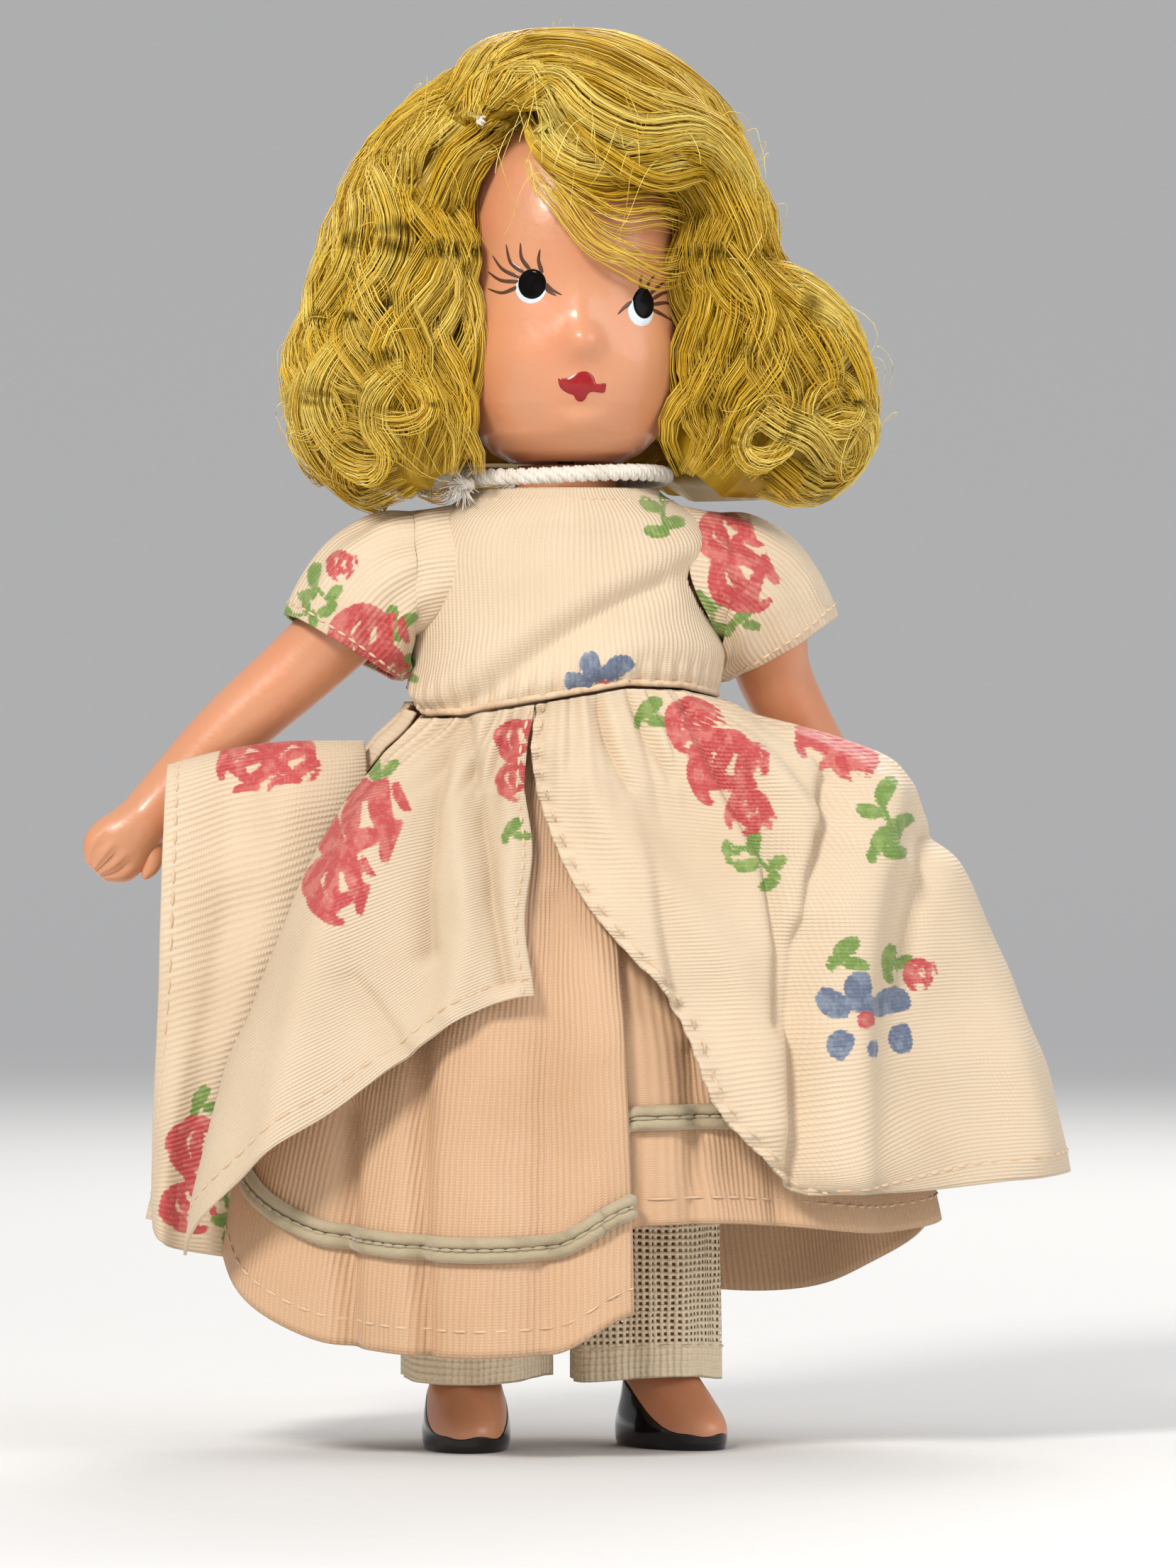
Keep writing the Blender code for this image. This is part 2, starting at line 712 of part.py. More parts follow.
SLEEVE = [
    # centre x, y, z, half-height, half-depth, lean of the ring in degrees
    (SLEEVE_START + 0.1, 0.0, SHOULDER_Z - 0.9, 6.6, 5.6, 0.0),
    (SLEEVE_START + 2.6, 0.4, SHOULDER_Z - 2.3, 6.8, 5.9, 18.0),
    (SLEEVE_START + 4.6, 1.0, SHOULDER_Z - 4.5, 6.9, 6.0, 38.0),
    (SLEEVE_START + 6.8, 1.8, SHOULDER_Z - 7.6, 6.4, 6.0, 60.0),
]


def sleeve(side, deeper):
    """A short sleeve round the upper arm, outside the plane of the armhole."""

    def middle(u, v):
        x, y, z, high, deep, lean = spline(SLEEVE, v)
        turn = 2 * math.pi * u
        out = high * math.cos(turn)
        lean = math.radians(lean)
        return Vector(
            (
                side * max(x + out * math.sin(lean), SLEEVE_START + SLEEVE_CLOTH / 2),
                y + deeper * v + deep * math.sin(turn),
                z + out * math.cos(lean),
            )
        )

    cloth("sleeve_" + side_name(side), middle, SLEEVE_CLOTH, 18, 5, True, FAILLE)


def gathers(angle, z, count, depth):
    """How far the folds stand out: none at the waist, full at the hem."""
    return depth * smooth_step(WAIST_Z, 30.0, z) * math.sin(math.radians(count * angle))


def underskirt_hem(angle):
    """The hem hangs low in front, is hitched up on the doll's left and rises at its right side."""
    turn = (angle + 180) % 360 - 180
    left = smooth_step(6, 16, turn) * smooth_step(150, 90, turn)
    back = smooth_step(60, 140, abs(turn))
    right = smooth_step(-40, -90, turn) * smooth_step(-165, -110, turn)
    return 11.0 + 10.5 * left + 13.0 * right + 3.0 * back * (1 - left) + 0.7 * math.sin(math.radians(5 * turn))


def underskirt_point(angle, z, out=0.0):
    turn = (angle + 180) % 360 - 180
    pleat = 2.2 * bump(turn, -8, 22) * smooth_step(66, 40, z)
    return around(BELL, angle, z, out + gathers(angle, z, 11, 0.8) + pleat)


def underskirt():
    top = WAIST_Z - 1.0

    def middle(u, v):
        angle = 360 * u
        return underskirt_point(angle, top + (underskirt_hem(angle) - top) * v)

    cloth("underskirt", middle, SKIRT_CLOTH, 55, 6, True, TAFFETA)

    def band(out):
        def point(u, v):
            angle = 360 * u
            z = underskirt_hem(angle) + BRAID_ABOVE_HEM + BRAID_WIDTH * (0.5 - v)
            return underskirt_point(angle, z, out)

        return point

    inner = SKIRT_CLOTH / 2 + GAP
    thick("underskirt_braid", band(inner), band(inner + BRAID_THICKNESS), 55, 1, True, BRAID_COLOUR)


def over_point(angle, z, lift):
    """A point of the overskirt: clear of the underskirt and its braid, and lifted further."""
    least = SKIRT_CLOTH + GAP + 0.2
    least += (BRAID_THICKNESS + GAP) * smooth_step(46, 38, z)
    return underskirt_point(angle, z, least + lift)


LEFT_FRONT = [
    (-11.0, 74.4), (-11.0, 69.5), (-9.0, 63.0), (-1.5, 55.5), (6.0, 49.4), (13.0, 43.6), (17.0, 34.8),
    (26.0, 28.5), (31.0, 26.0),
]
RIGHT_FRONT = [(-14.0, 74.4), (-26.0, 69.0), (-19.0, 60.0), (-13.5, 52.0), (-9.0, 45.5)]


def left_lift(angle, z):
    """The doll's left side puffs out in front of the arm and falls in again behind it."""
    high = smooth_step(44, 60, z)
    puff = 12.0 - 2.6 * smooth_step(60, 30, z)
    puff *= smooth_step(75.5, 68.0, z)
    rise = smooth_step(12, 82, angle)
    fall = 1 - smooth_step(86, 104 + 40 * (1 - high), angle)
    ripple = 0.9 * math.sin(math.radians(angle * 6)) * smooth_step(70, 45, z)
    return puff * rise * fall + ripple + 0.9


def overskirt_left():
    """The full left side: its puff, which the arm pushes, and below it the hem that the doll lies on."""
    top = 74.4
    last = 176.0
    split = 0.46
    half_gap = 0.005

    def middle(u, v):
        start = spline(LEFT_FRONT, v)
        angle = start[0] + (last - start[0]) * u
        hem = 26.0 + 1.8 * smooth_step(35, 90, angle) - 4.0 * smooth_step(100, 150, angle)
        level = top + (hem - top) * v
        level += (start[1] - level) * (1 - smooth_step(0.0, 0.22, u))
        return over_point(angle, level, left_lift(angle, level))

    def upper(u, v):
        return middle(u, v * (split - half_gap))

    def lower(u, v):
        return middle(u, split + half_gap + v * (1 - split - half_gap))

    cloth("overskirt_left", upper, SKIRT_CLOTH, 30, 4, False, FAILLE)
    cloth("overskirt_left_hem", lower, SKIRT_CLOTH, 30, 5, False, FAILLE)


def right_lift(angle, z):
    """The right front panel: a full fold that stands out near its outer edge."""
    fold = 5.0 * bump(angle, -52, 26) * smooth_step(73, 60, z)
    return 0.9 + fold + 0.8 * math.sin(math.radians(7 * angle)) * smooth_step(72, 50, z)


def overskirt_right():
    """The right front panel, whose hem runs up from the outer side to the front edge."""
    top = 74.4
    last = -66.0

    def middle(u, v):
        start = spline(RIGHT_FRONT, v)
        angle = start[0] + (last - start[0]) * u
        hem = 45.5 - 27.0 * smooth_step(0.0, 1.15, u) / smooth_step(0.0, 1.15, 1.0)
        level = top + (hem - top) * v
        return over_point(angle, level, right_lift(angle, level))

    cloth("overskirt_right", middle, SKIRT_CLOTH, 14, 9, False, FAILLE)


# Columns run from the tucked edge out to the hem, rows from the rolled top down
FLAP = [
    [(-24.2, -2.4, 68.6), (-29.0, -1.0, 68.4), (-35.0, -0.6, 67.6), (-39.8, -0.5, 66.2)],
    [(-24.2, -4.2, 70.2), (-29.0, -2.8, 70.0), (-35.2, -2.2, 69.0), (-40.2, -1.9, 67.6)],
    [(-25.0, -6.2, 64.0), (-29.6, -5.6, 62.5), (-35.4, -4.4, 61.0), (-40.6, -3.2, 59.0)],
    [(-29.4, -7.4, 52.0), (-32.4, -8.0, 50.0), (-36.6, -6.2, 48.5), (-41.0, -4.2, 47.0)],
    [(-33.8, -8.2, 40.0), (-36.0, -8.6, 38.0), (-38.8, -7.2, 37.0), (-41.6, -5.0, 36.0)],
    [(-36.6, -8.4, 30.0), (-38.4, -8.8, 29.0), (-40.4, -7.6, 28.5), (-42.0, -5.6, 28.0)],
    [(-38.2, -8.6, 20.0), (-39.6, -8.8, 20.2), (-41.0, -7.8, 21.0), (-42.0, -6.4, 22.5)],
]


def overskirt_flap():
    """The hem's corner that hangs in front of the right forearm."""

    def middle(u, v):
        columns = [spline([row[i] for row in FLAP], v) for i in range(len(FLAP[0]))]
        return Vector(spline(columns, u))

    cloth("overskirt_flap", middle, SKIRT_CLOTH, 7, 13, False, FAILLE)


def overskirt_back():
    """The back of the overskirt, from under the flap to the seam at the middle of the back."""
    top = 74.4
    first, last = -83.0, -178.0

    def middle(u, v):
        angle = first + (last - first) * u
        level = top + (23.0 - top) * v
        ripple = 1.0 * math.sin(math.radians(8 * angle)) * smooth_step(70, 45, level)
        return over_point(angle, level, 1.3 + ripple)

    cloth("overskirt_back", middle, SKIRT_CLOTH, 20, 7, False, FAILLE)


def pantaloons():
    def seat(u, v):
        z = WAIST_Z - 0.6 + (63.4 - WAIST_Z + 0.6) * v
        return around(TORSO, 360 * u, z, 0.9 + 0.7 * smooth_step(70, 64, z))

    cloth("pantaloon_seat", seat, PANTALOON_CLOTH, 24, 2, True, GAUZE)
    for side in (-1, 1):

        def trouser(u, v, side=side):
            z = 53.0 + (PANTALOON_HEM_Z - 53.0) * v
            turn = 2 * math.pi * u
            width = 6.4 + 0.9 * smooth_step(53, 20, z)
            depth = 6.2 + 0.3 * smooth_step(53, 20, z)
            ripple = 0.25 * math.sin(5 * turn) * smooth_step(50, 15, z)
            centre = side * 7.9 + (0.0 if side > 0 else -1.3) * smooth_step(53, 12, z)
            x = centre + (width + ripple) * math.sin(turn)
            return Vector((x, -(depth + ripple) * math.cos(turn), z))

        cloth(
            "pantaloon_leg_" + side_name(side), trouser, PANTALOON_CLOTH, 20, 6, True, GAUZE
        )


def trimmings():
    """The neck cord with its knot, the thread at the waist and the pin at the back."""
    loop = []
    for i in range(32):
        turn = 2 * math.pi * i / 32
        loop.append((10.0 * math.sin(turn), -7.6 * math.cos(turn), CORD_Z + 0.1 * math.sin(2 * turn)))
    tube("neck_cord", loop, CORD_RADIUS, WHITE_THREAD, cyclic=True, roughness=0.9)
    knot = []
    for row in range(7):
        turn = math.pi * (row + 0.5) / 7
        radius = 1.25 * math.sin(turn)
        knot.append(level_ring(-10.9, -4.4, CORD_Z - 1.0 + 1.25 * math.cos(turn), radius, radius, 12))
    loft("neck_cord_knot", knot, WHITE_THREAD, roughness=0.9)
    out = BODICE_CLOTH / 2 + GAP + 0.25
    line = [around(BODICE, -100.0 - 34.0 * i / 10, 75.9, out) for i in range(11)]
    tube("waist_thread", line, 0.25, BLACK_THREAD, roughness=0.8)
    depth = at_height(BODICE, 88.0)[1]
    y = depth + BODICE_CLOTH / 2 + GAP + PIN_RADIUS
    pin = [(-4.5, y, 86.8), (0.0, y, 86.8), (4.5, y, 86.8), (5.5, y, 87.3), (5.5, y, 88.5), (4.5, y, 89.0)]
    pin += [(0.0, y + 0.1, 89.0), (-4.5, y, 89.0)]
    tube("safety_pin", pin, PIN_RADIUS, STEEL, roughness=0.3, metallic=1.0)


def main():
    clear_scene()
    torso()
    head()
    wig()
    arm(-1, RIGHT_ARM)
    arm(1, LEFT_ARM)
    leg(-1)
    leg(1)
    stringing()
    bodice()
    sleeve(-1, 0.2)
    sleeve(1, 2.2)
    underskirt()
    overskirt_left()
    overskirt_right()
    overskirt_flap()
    overskirt_back()
    pantaloons()
    trimmings()


main()
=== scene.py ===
"""Looks of a small dressed doll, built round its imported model.

Lengths are in millimetres in the builders and become metres when a mesh is made. The doll
stands on z 0 and looks along -Y, and an angle round it is 0 in front and grows to its left.
"""

import logging
import math
import random
from dataclasses import dataclass, field
from enum import Enum
from typing import Callable, Iterable, Sequence

import bmesh
import bpy
import numpy as np
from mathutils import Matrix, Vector, noise
from mathutils.bvhtree import BVHTree


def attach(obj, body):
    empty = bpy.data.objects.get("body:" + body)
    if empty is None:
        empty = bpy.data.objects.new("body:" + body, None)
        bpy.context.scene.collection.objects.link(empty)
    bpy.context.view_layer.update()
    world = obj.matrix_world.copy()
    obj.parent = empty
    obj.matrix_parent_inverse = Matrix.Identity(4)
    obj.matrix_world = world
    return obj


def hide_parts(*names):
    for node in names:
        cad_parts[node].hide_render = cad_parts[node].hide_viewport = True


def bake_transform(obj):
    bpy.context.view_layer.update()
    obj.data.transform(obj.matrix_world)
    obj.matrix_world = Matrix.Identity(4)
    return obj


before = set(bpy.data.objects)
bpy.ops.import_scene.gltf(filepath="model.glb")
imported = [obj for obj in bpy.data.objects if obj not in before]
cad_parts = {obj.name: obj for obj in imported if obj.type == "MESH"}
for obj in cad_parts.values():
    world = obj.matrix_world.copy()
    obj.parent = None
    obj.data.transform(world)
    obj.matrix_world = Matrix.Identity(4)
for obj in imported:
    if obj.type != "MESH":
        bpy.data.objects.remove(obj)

LOG = logging.getLogger("doll")
MM = 0.001
LEAST_SHEET_SIZE = 0.0101
DRESS_THICKNESS = 0.35
GAUZE_THICKNESS = 0.3
FULL_TURN = 6.28
# The camera's direction, 8 degrees round to the doll's right: how x and y add up to what it sees
CAMERA_TURN = 8.0
SEEN_X, SEEN_Y = 0.9903, 0.1392

Colour = tuple[float, float, float]
Point = tuple[float, float, float]
Face = tuple[int, ...]
Outline = Sequence[tuple[float, float]]
Fold = tuple[float, float, Outline]
Line = Callable[[float], Vector]
Surface = Callable[[float, float], Vector]


class Body(Enum):
    """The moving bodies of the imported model."""

    TORSO = "torso"
    HEAD = "head"
    ARM_LEFT = "arm_left"
    ARM_RIGHT = "arm_right"
    LEG_LEFT = "leg_left"
    LEG_RIGHT = "leg_right"


class Side(Enum):
    """The doll's own left and right, with the sign of x on that side."""

    LEFT = 1
    RIGHT = -1

    @property
    def word(self) -> str:
        """The side's name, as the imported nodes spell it."""
        return self.name.lower()


# Shader arithmetic


class Value:
    """A shader socket with the arithmetic operators that add Math nodes."""

    def __init__(self, shader: "Shader", socket: bpy.types.NodeSocket) -> None:
        """Keeps the shader that the nodes are added to and the socket itself."""
        self.shader = shader
        self.socket = socket

    def _math(self, operation: str, *others: "Value | float") -> "Value":
        """A Math node of this value and the others."""
        return self.shader.node("ShaderNodeMath", {"operation": operation}, [self, *others])

    def __add__(self, other: "Value | float") -> "Value":
        """The sum."""
        return self._math("ADD", other)

    __radd__ = __add__

    def __mul__(self, other: "Value | float") -> "Value":
        """The product."""
        return self._math("MULTIPLY", other)

    __rmul__ = __mul__

    def __sub__(self, other: "Value | float") -> "Value":
        """The difference."""
        return self._math("SUBTRACT", other)

    def __rsub__(self, other: float) -> "Value":
        """The difference from a number."""
        return self.shader.node("ShaderNodeMath", {"operation": "SUBTRACT"}, [other, self])

    def sine(self) -> "Value":
        """The sine of the value in radians."""
        return self._math("SINE")

    def highest(self, other: "Value | float") -> "Value":
        """The higher of two values."""
        return self._math("MAXIMUM", other)

    def step(self, low: float, high: float) -> "Value":
        """0 below the low end, 1 above the high end, and smooth between them."""
        settings = {"interpolation_type": "SMOOTHSTEP"}
        return self.shader.node("ShaderNodeMapRange", settings, [self, low, high, 0.0, 1.0])


class Shader:
    """A material with a Principled shader and short ways to add nodes to it."""

    def __init__(self, name: str) -> None:
        """Starts an empty material of that name."""
        self.material = bpy.data.materials.new(name)
        self.material.use_nodes = True
        self.tree = self.material.node_tree
        self.principled = self.tree.nodes["Principled BSDF"]

    def node(
        self,
        kind: str,
        settings: dict[str, object] | None = None,
        inputs: Iterable[object] | dict[str, object] = (),
        output: int | str = 0,
    ) -> Value:
        """Adds a node.

        Args:
            kind: the node's type.
            settings: its properties, set before the sockets.
            inputs: values or links, by place or by socket name.
            output: the socket that is returned.

        Returns:
            The output socket as a value.
        """
        made = self.tree.nodes.new(kind)
        for name, value in (settings or {}).items():
            setattr(made, name, value)
        pairs = inputs.items() if isinstance(inputs, dict) else enumerate(inputs)
        for place, value in pairs:
            self.feed(made.inputs[place], value)
        return Value(self, made.outputs[output])

    def feed(self, socket: bpy.types.NodeSocket, value: object) -> None:
        """Links a value to a socket, or sets the socket's own number or colour."""
        if isinstance(value, Value):
            self.tree.links.new(value.socket, socket)
        elif value is not None:
            socket.default_value = value

    def set(self, **values: object) -> None:
        """Sets sockets of the Principled shader, named with _ for a space."""
        names = {socket.name.lower().replace(" ", "_"): socket for socket in self.principled.inputs}
        for name, value in values.items():
            if name in ("base_color", "sheen_tint", "specular_tint") and isinstance(value, tuple):
                value = (*value, 1.0)
            self.feed(names[name], value)

    def place(self) -> Value:
        """Object coordinates, in metres."""
        return self.node("ShaderNodeTexCoord", output="Object")

    def sheet_place(self, name: str) -> Value:
        """The piece's own map, in millimetres along its cloth."""
        return self.node("ShaderNodeUVMap", {"uv_map": name})

    def parts(self, vector: Value) -> tuple[Value, Value, Value]:
        """The three numbers of a vector."""
        made = self.node("ShaderNodeSeparateXYZ", inputs=[vector]).socket.node
        return tuple(Value(self, socket) for socket in made.outputs)

    def noise(self, vector: Value, scale: float, detail: float = 2.0, rough: float = 0.5) -> Value:
        """Smooth noise from 0 to 1."""
        inputs = {"Vector": vector, "Scale": scale, "Detail": detail, "Roughness": rough}
        return self.node("ShaderNodeTexNoise", inputs=inputs)

    def attribute(self, name: str, output: str = "Fac") -> Value:
        """An attribute of the piece's points."""
        return self.node("ShaderNodeAttribute", {"attribute_name": name}, output=output)

    def mix(self, share: Value | float, first: object, second: object) -> Value:
        """A colour between two colours."""
        made = self.tree.nodes.new("ShaderNodeMix")
        made.data_type = "RGBA"
        sockets = {s.identifier: s for s in made.inputs}
        self.feed(sockets["Factor_Float"], share)
        for key, value in (("A_Color", first), ("B_Color", second)):
            self.feed(sockets[key], (*value, 1.0) if isinstance(value, tuple) else value)
        return Value(self, next(s for s in made.outputs if s.identifier == "Result_Color"))

    def bump(self, height: Value, distance: float, strength: float = 1.0) -> None:
        """Feeds a height in metres times the distance to the shader's normal."""
        inputs = {"Strength": strength, "Distance": distance, "Height": height}
        self.set(normal=self.node("ShaderNodeBump", inputs=inputs))


# Finishes


@dataclass(frozen=True)
class PaintedSkin:
    """Satin flesh paint on a moulded body, a little uneven and finely speckled."""

    name: str = "flesh_paint"
    colour: Colour = (0.63, 0.285, 0.145)
    warm: Colour = (0.66, 0.262, 0.128)
    roughness: float = 0.38
    coat: float = 0.28

    def build(self) -> bpy.types.Material:
        """The material."""
        shader = Shader(self.name)
        place = shader.place()
        cloudy = shader.noise(place, 160.0, 3.0).step(0.3, 0.75)
        specks = shader.noise(place, 2600.0, 2.0).step(0.62, 0.8)
        base = shader.mix(cloudy, self.colour, self.warm)
        shader.set(
            base_color=shader.mix(specks * 0.10, base, (0.40, 0.17, 0.08)),
            roughness=self.roughness + cloudy * 0.06,
            coat_weight=self.coat,
            coat_roughness=0.13,
            subsurface_weight=0.06,
            subsurface_scale=0.002,
        )
        shader.bump(shader.noise(place, 900.0, 4.0), 0.00006)
        return shader.material


@dataclass(frozen=True)
class GlossPaint:
    """A thick stroke of glossy paint."""

    name: str
    colour: Colour
    roughness: float = 0.12
    coat: float = 0.35
    shine: float = 0.3

    def build(self) -> bpy.types.Material:
        """The material."""
        shader = Shader(self.name)
        worn = shader.noise(shader.place(), 1500.0, 3.0).step(0.4, 0.8)
        lighter = tuple(min(1.0, part * 1.5 + 0.004) for part in self.colour)
        shader.set(
            base_color=shader.mix(worn * 0.5, self.colour, lighter),
            roughness=self.roughness + worn * 0.08,
            coat_weight=self.coat,
            coat_roughness=0.04,
            specular_ior_level=self.shine,
        )
        return shader.material


@dataclass(frozen=True)
class RibbedCloth:
    """Faille or taffeta: fine raised ribs, a soft sheen, and optionally a printed pattern."""

    name: str
    colour: Colour
    shade: Colour
    rib_pitch: float = 0.58
    ribs_along: bool = True
    printed: bool = False
    sheen: float = 0.25

    def build(self) -> bpy.types.Material:
        """The material. Its map runs in millimetres, across then down the cloth."""
        shader = Shader(self.name)
        across, down, _ = shader.parts(shader.sheet_place("cloth"))
        flow = shader.noise(shader.place(), 90.0, 2.0)
        line = across if self.ribs_along else down
        other = down if self.ribs_along else across
        wave = (line + flow * 1.1) * (2 * math.pi / self.rib_pitch)
        rib = wave.sine() * 0.5 + 0.5
        thread = (other * (2 * math.pi / 0.30)).sine() * 0.5 + 0.5
        stains = shader.noise(shader.place(), 55.0, 3.0).step(0.42, 0.8)
        body = shader.mix(stains * 0.45, self.colour, self.shade)
        # The grooves between the ribs are darkened towards the shade colour: painted shade.
        groove = tuple(part * 0.78 for part in self.shade)
        body = shader.mix((1 - rib) * 0.20, body, groove)
        if self.printed:
            body = self.print_over(shader, body, rib)
        shader.set(
            base_color=body,
            roughness=0.62 - rib * 0.16 + stains * 0.08,
            sheen_weight=self.sheen,
            sheen_roughness=0.35,
            sheen_tint=(1.0, 0.9, 0.75),
            specular_ior_level=0.45,
        )
        shader.bump(rib * 0.8 + thread * rib * 0.35, 0.00008)
        return shader.material

    def print_over(self, shader: Shader, body: Value, rib: Value) -> Value:
        """Lays the printed flowers over the cloth's colour; their distances are an attribute."""
        inks = shader.attribute("ink", "Color")
        red, green, blue = shader.parts(inks)
        rough = shader.noise(shader.place(), 1700.0, 3.0, 0.7)
        skip = (rough - 0.5) * 0.16 + rib * 0.05 - 0.03
        dry = shader.noise(shader.place(), 2400.0, 3.0).step(0.5, 0.68)
        wash = shader.noise(shader.place(), 620.0, 3.0).step(0.46, 0.62)
        for ink, colour, second in (
            (green, (0.13, 0.25, 0.035), (0.30, 0.40, 0.12)),
            (blue, (0.085, 0.125, 0.215), (0.24, 0.30, 0.38)),
            (red, (0.50, 0.035, 0.045), (0.67, 0.22, 0.18)),
        ):
            mask = (ink + skip).step(0.48, 0.56)
            faded = (ink + rough * 0.2).step(0.75, 0.55)
            tone = shader.mix((dry * 0.35 + wash * 0.5 + faded * 0.15), colour, second)
            body = shader.mix(mask * 0.94, body, tone)
        return body


@dataclass(frozen=True)
class Thread:
    """Plied thread, cord or braid of one colour."""

    name: str
    colour: Colour
    shade: Colour
    pitch: float = 0.35

    def build(self) -> bpy.types.Material:
        """The material."""
        shader = Shader(self.name)
        place = shader.place()
        fuzz = shader.noise(place, 3000.0, 3.0)
        dirt = shader.noise(place, 260.0, 2.0).step(0.45, 0.75)
        shader.set(
            base_color=shader.mix(dirt * 0.6 + fuzz * 0.3, self.colour, self.shade),
            roughness=0.8,
            sheen_weight=0.4,
            sheen_roughness=0.5,
        )
        shader.bump(fuzz, 0.00008)
        return shader.material


@dataclass(frozen=True)
class Gauze:
    """Open plain weave: threads with holes between them, and a close double hem."""

    name: str = "pantaloon_gauze"
    colour: Colour = (0.90, 0.75, 0.52)
    shade: Colour = (0.74, 0.58, 0.36)
    pitch: float = 0.66
    length: float = 46.2

    def build(self) -> bpy.types.Material:
        """The material. Its map runs in millimetres, across then down the cloth."""
        shader = Shader(self.name)
        across, down, _ = shader.parts(shader.sheet_place("cloth"))
        place = shader.place()
        bend = shader.noise(place, 260.0, 2.0) - 0.5
        weft = ((across + bend * 0.5) * (2 * math.pi / self.pitch)).sine() * 0.5 + 0.5
        warp = ((down + bend * 0.6) * (2 * math.pi / self.pitch)).sine() * 0.5 + 0.5
        fuzz = shader.noise(place, 2600.0, 3.0)
        hem = down.step(self.length - 3.4, self.length - 3.2)
        hidden = down.step(26.0, 22.0)
        thread = weft.highest(warp) + (fuzz - 0.5) * 0.3
        cover = (thread.step(0.44, 0.58) + hem + hidden).step(0.0, 1.0)
        dirt = shader.noise(place, 120.0, 3.0).step(0.5, 0.8)
        # Where the threads thin out beside the holes the colour goes to the shade colour: painted shade in
        # the weave's gaps. The dirt mask is random stains.
        body = shader.mix(dirt * 0.4 + (1 - thread) * 0.4, self.colour, self.shade)
        shader.set(base_color=body, roughness=0.85, alpha=cover, sheen_weight=0.2, sheen_roughness=0.5)
        shader.bump(weft + warp + fuzz * 0.4, 0.00012)
        return shader.material


@dataclass(frozen=True)
class Mohair:
    """Golden mohair whose strands differ in colour and shine along their length, and whose tone also holds
    painted light and shade.
    """

    name: str
    dark: Colour = (0.30, 0.145, 0.005)
    middle: Colour = (0.72, 0.44, 0.022)
    light: Colour = (0.97, 0.79, 0.22)

    def build(self) -> bpy.types.Material:
        """The material. The attribute tone runs from 0, dark, to 1, light, and also carries painted shade
        at its dark end and painted highlights at its light end.
        """
        shader = Shader(self.name)
        tone = shader.attribute("tone")
        broad = shader.noise(shader.place(), 120.0, 2.0)
        share = tone * 0.75 + broad * 0.35
        body = shader.mix(share.step(0.05, 0.55), self.dark, self.middle)
        body = shader.mix(share.step(0.45, 0.9), body, self.light)
        shader.set(
            base_color=body,
            roughness=0.34,
            specular_ior_level=0.55,
            specular_tint=(1.0, 0.84, 0.36),
        )
        return shader.material


@dataclass(frozen=True)
class Metal:
    """Bright wire, a little scratched."""

    name: str = "bright_wire"
    colour: Colour = (0.62, 0.61, 0.58)

    def build(self) -> bpy.types.Material:
        """The material."""
        shader = Shader(self.name)
        scratches = shader.noise(shader.place(), 1400.0, 3.0)
        shader.set(base_color=self.colour, metallic=1.0, roughness=0.22 + scratches * 0.2)
        return shader.material


@dataclass(frozen=True)
class Rubber:
    """Aged elastic."""

    name: str = "aged_elastic"

    def build(self) -> bpy.types.Material:
        """The material."""
        shader = Shader(self.name)
        marks = shader.noise(shader.place(), 900.0, 3.0)
        shader.set(
            base_color=shader.mix(marks, (0.10, 0.085, 0.07), (0.22, 0.19, 0.16)), roughness=0.75
        )
        shader.bump(marks, 0.0001)
        return shader.material


class Finishes:
    """Every material of the doll, each made once."""

    def __init__(self) -> None:
        """Builds the materials."""
        cream, cream_shade = (0.74, 0.585, 0.41), (0.60, 0.44, 0.28)
        self.skin = PaintedSkin().build()
        self.slipper = GlossPaint("slipper_paint", (0.008, 0.006, 0.006)).build()
        self.pupil = GlossPaint("eye_paint", (0.004, 0.003, 0.003), 0.14, 0.0, 0.07).build()
        self.eye_white = GlossPaint("eye_white_paint", (0.62, 0.70, 0.76), 0.25).build()
        self.lash = GlossPaint("lash_paint", (0.085, 0.035, 0.016), 0.3).build()
        self.lips = GlossPaint("lip_paint", (0.30, 0.006, 0.008), 0.28).build()
        self.faille = RibbedCloth("printed_faille", cream, cream_shade, printed=True).build()
        self.faille_cross = RibbedCloth(
            "printed_faille_cross", cream, cream_shade, ribs_along=False, printed=True
        ).build()
        self.taffeta = RibbedCloth("peach_taffeta", (0.66, 0.42, 0.25), (0.50, 0.29, 0.15)).build()
        self.gauze = Gauze().build()
        self.plain_gauze = Thread("gauze_thread", (0.82, 0.66, 0.44), (0.64, 0.48, 0.28)).build()
        self.braid = Thread("braid_thread", (0.47, 0.385, 0.245), (0.27, 0.21, 0.115)).build()
        self.seam = Thread("seam_thread", (0.74, 0.55, 0.36), (0.58, 0.36, 0.2)).build()
        self.cord = Thread("white_cord", (0.80, 0.76, 0.68), (0.58, 0.50, 0.40)).build()
        self.black = Thread("black_thread", (0.02, 0.02, 0.03), (0.05, 0.05, 0.07)).build()
        self.mohair = Mohair("mohair").build()
        # The mass under the locks gets darker mohair colours: painted shade.
        self.underhair = Mohair(
            "mohair_roots", (0.14, 0.07, 0.003), (0.34, 0.20, 0.008), (0.5, 0.33, 0.02)
        ).build()
        self.wire = Metal().build()
        self.elastic = Rubber().build()


# Mesh making


def smooth_step(low: float, high: float, value: float) -> float:
    """0 at the low end, 1 at the high end, and smooth between them, whichever is larger."""
    t = min(max((value - low) / (high - low), 0.0), 1.0)
    return t * t * (3 - 2 * t)


def bump_at(value: float, centre: float, reach: float) -> float:
    """1 at the centre, falling smoothly to 0 at the reach."""
    return smooth_step(reach, 0.0, abs(value - centre))


